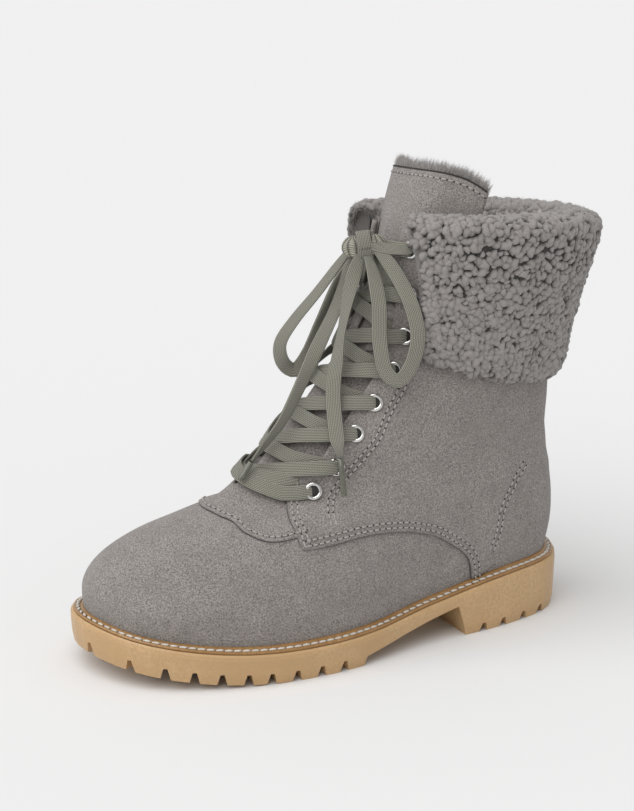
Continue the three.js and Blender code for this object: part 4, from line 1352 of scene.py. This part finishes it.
# %% Curls inside the collar, behind the tongue and the footbed
def soft_curls(name, place, out, size):
    count = len(place)
    axes = frames_from(out, pick.normal(size=(count, 3)))
    obj = scatter(name, curl_shape, place, axes, size * pick.uniform(0.8, 1.15, (count, 1)))
    # each curl is darker at its base, painted shade; its tone varies at random
    local = np.tile(0.6 + 0.4 * read_points(curl_shape)[:, 2], count)
    shade = np.repeat(pick.uniform(-0.15, 0.15, count), len(curl_shape.data.vertices))
    put_attribute(obj, "depth", np.clip(local + shade, 0, 1))
    return keep(paint(obj, soft_wool), "wool")


COLLAR_CURLS, TONGUE_CURLS = 1050, 520
q, h = spread_points(COLLAR_CURLS, 31, -1, 1)
h = mix(8.9, 11.0, h)
index = q * (FRONT - 0.95)
soft_curls("collar_curls", on_last(index, h, -wall_at(index, h) + 0.6), -normals(index, h), (2.9, 2.7, 1.8))
u, v = spread_points(TONGUE_CURLS, 41, 0.04, 0.96)
v = mix(0.62, 0.985, v)
out = -normals(FRONT + (2 * u - 1) * 2.3, mix(5.9, 11.9, v))
soft_curls("tongue_curls", tongue_place(-5.0)(u, v), out, (2.6, 2.4, 1.6))


def insole_place(u, v):
    """The footbed: rings drawn in from the last's foot, u round and v from rim to middle."""
    index = u * ENTRIES
    rim = sole_point(index, WELT_OVERHANG + FOOTBED_THICK + 0.9, 8)
    spine = np.column_stack([np.clip(rim[:, 0], 0, 200), mix(0.0, -10.0, smooth(40, 200, rim[:, 0])), rim[:, 2]])
    spine[:, 2] = sole_top(spine[:, 0]) + 8.6
    return mix(rim, spine, (v * 0.999)[:, None])


footbed = even_depth(shell("footbed_wool", insole_place, 150, 16, FOOTBED_THICK, weld=True), 0.6)
keep(paint(footbed, lining_wool), "lining", "insole")

# %% [markdown]
# ## Welt and sole
# The welt is one closed strip with a stitched groove and a glossy bead against the suede. The sole
# is the frame's own block, with its sharp corners taken off.

# %% Welt
around = np.linspace(0, ENTRIES, 420, endpoint=False)
section = [sole_point(around, inset, rise) for inset, rise in
           ((1.7, 0.3), (1.7, 1.0), (2.0, 1.5), (2.6, 1.75), (3.2, 1.7), (3.6, 1.35), (4.2, 1.1), (4.8, 1.3))]
section += [on_last(around, height, off) for height, off in
            ((0.055, 1.75), (0.085, 2.25), (0.13, 2.4), (0.175, 2.2), (0.205, 1.6), (0.22, 0.8), (0.22, -0.6))]
section += [sole_point(around, 8.0, 0.3)]
welt = ring_sweep("welt_strip", np.stack(section, axis=1), closed=True)
keep(paint(welt, welt_leather), "welt_leather", "welt")

# %% Lockstitches: one white thread, dipping at every needle hole
LOCK_PITCH = 4.7
LOCK_SIZE = (2.3, 0.85, 0.75)
PIT_SIZE = (0.9, 0.7, 0.4)
fine = np.linspace(0, ENTRIES, 4000)
length = run_length(sole_point(fine, 4.0, 1.35))
stitches = int(round(length[-1] / LOCK_PITCH))
at = (np.arange(stitches) + 0.5) * length[-1] / stitches
index = np.interp(at, length, fine)
place = sole_point(index, 3.95, 1.65)
along = sole_point(index + 0.01, 4.2, 1.5) - sole_point(index - 0.01, 3.9, 1.5)
out = np.tile([0, 0, 1.0], (stitches, 1)) - 0.3 * normals(index, 0.0)
along = unit(along) + 0.16 * np.cross(out, along)
lock = scatter("welt_stitches", stitch_shape, place, frames_from(out, along), LOCK_SIZE)
keep(paint(lock, white_thread), "thread_white")
# needle holes between the stitches, near-black beads: painted shade
index = np.interp(np.arange(stitches) * length[-1] / stitches, length, fine)
pits = scatter("welt_needle_holes", hole_shape, sole_point(index, 4.05, 1.25),
               frames_from(out, sole_point(index + 0.01, 4, 1) - sole_point(index - 0.01, 4, 1)), PIT_SIZE)
keep(paint(pits, hole_shade_and_dark_edge), "thread_white")

# %% Sole
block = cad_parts["outsole"]
pick_only(block)
bpy.ops.object.duplicate()
sole = bpy.context.object
sole.name = "sole_block"
for key in [k for k in sole.keys() if k.startswith("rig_")]:
    del sole[key]
finish_mesh(sole, merge=0.02, outward=False)
pick_only(sole)
bpy.ops.object.shade_flat()
apply_modifier(sole, "BEVEL", width=0.55 * MM, segments=2, limit_method="ANGLE", angle_limit=math.radians(38))
keep(paint(sole, gum), "gum_rubber", "outsole")

for template in (stitch_shape, hole_shape, curl_shape, hair_shape):
    bpy.data.objects.remove(template)
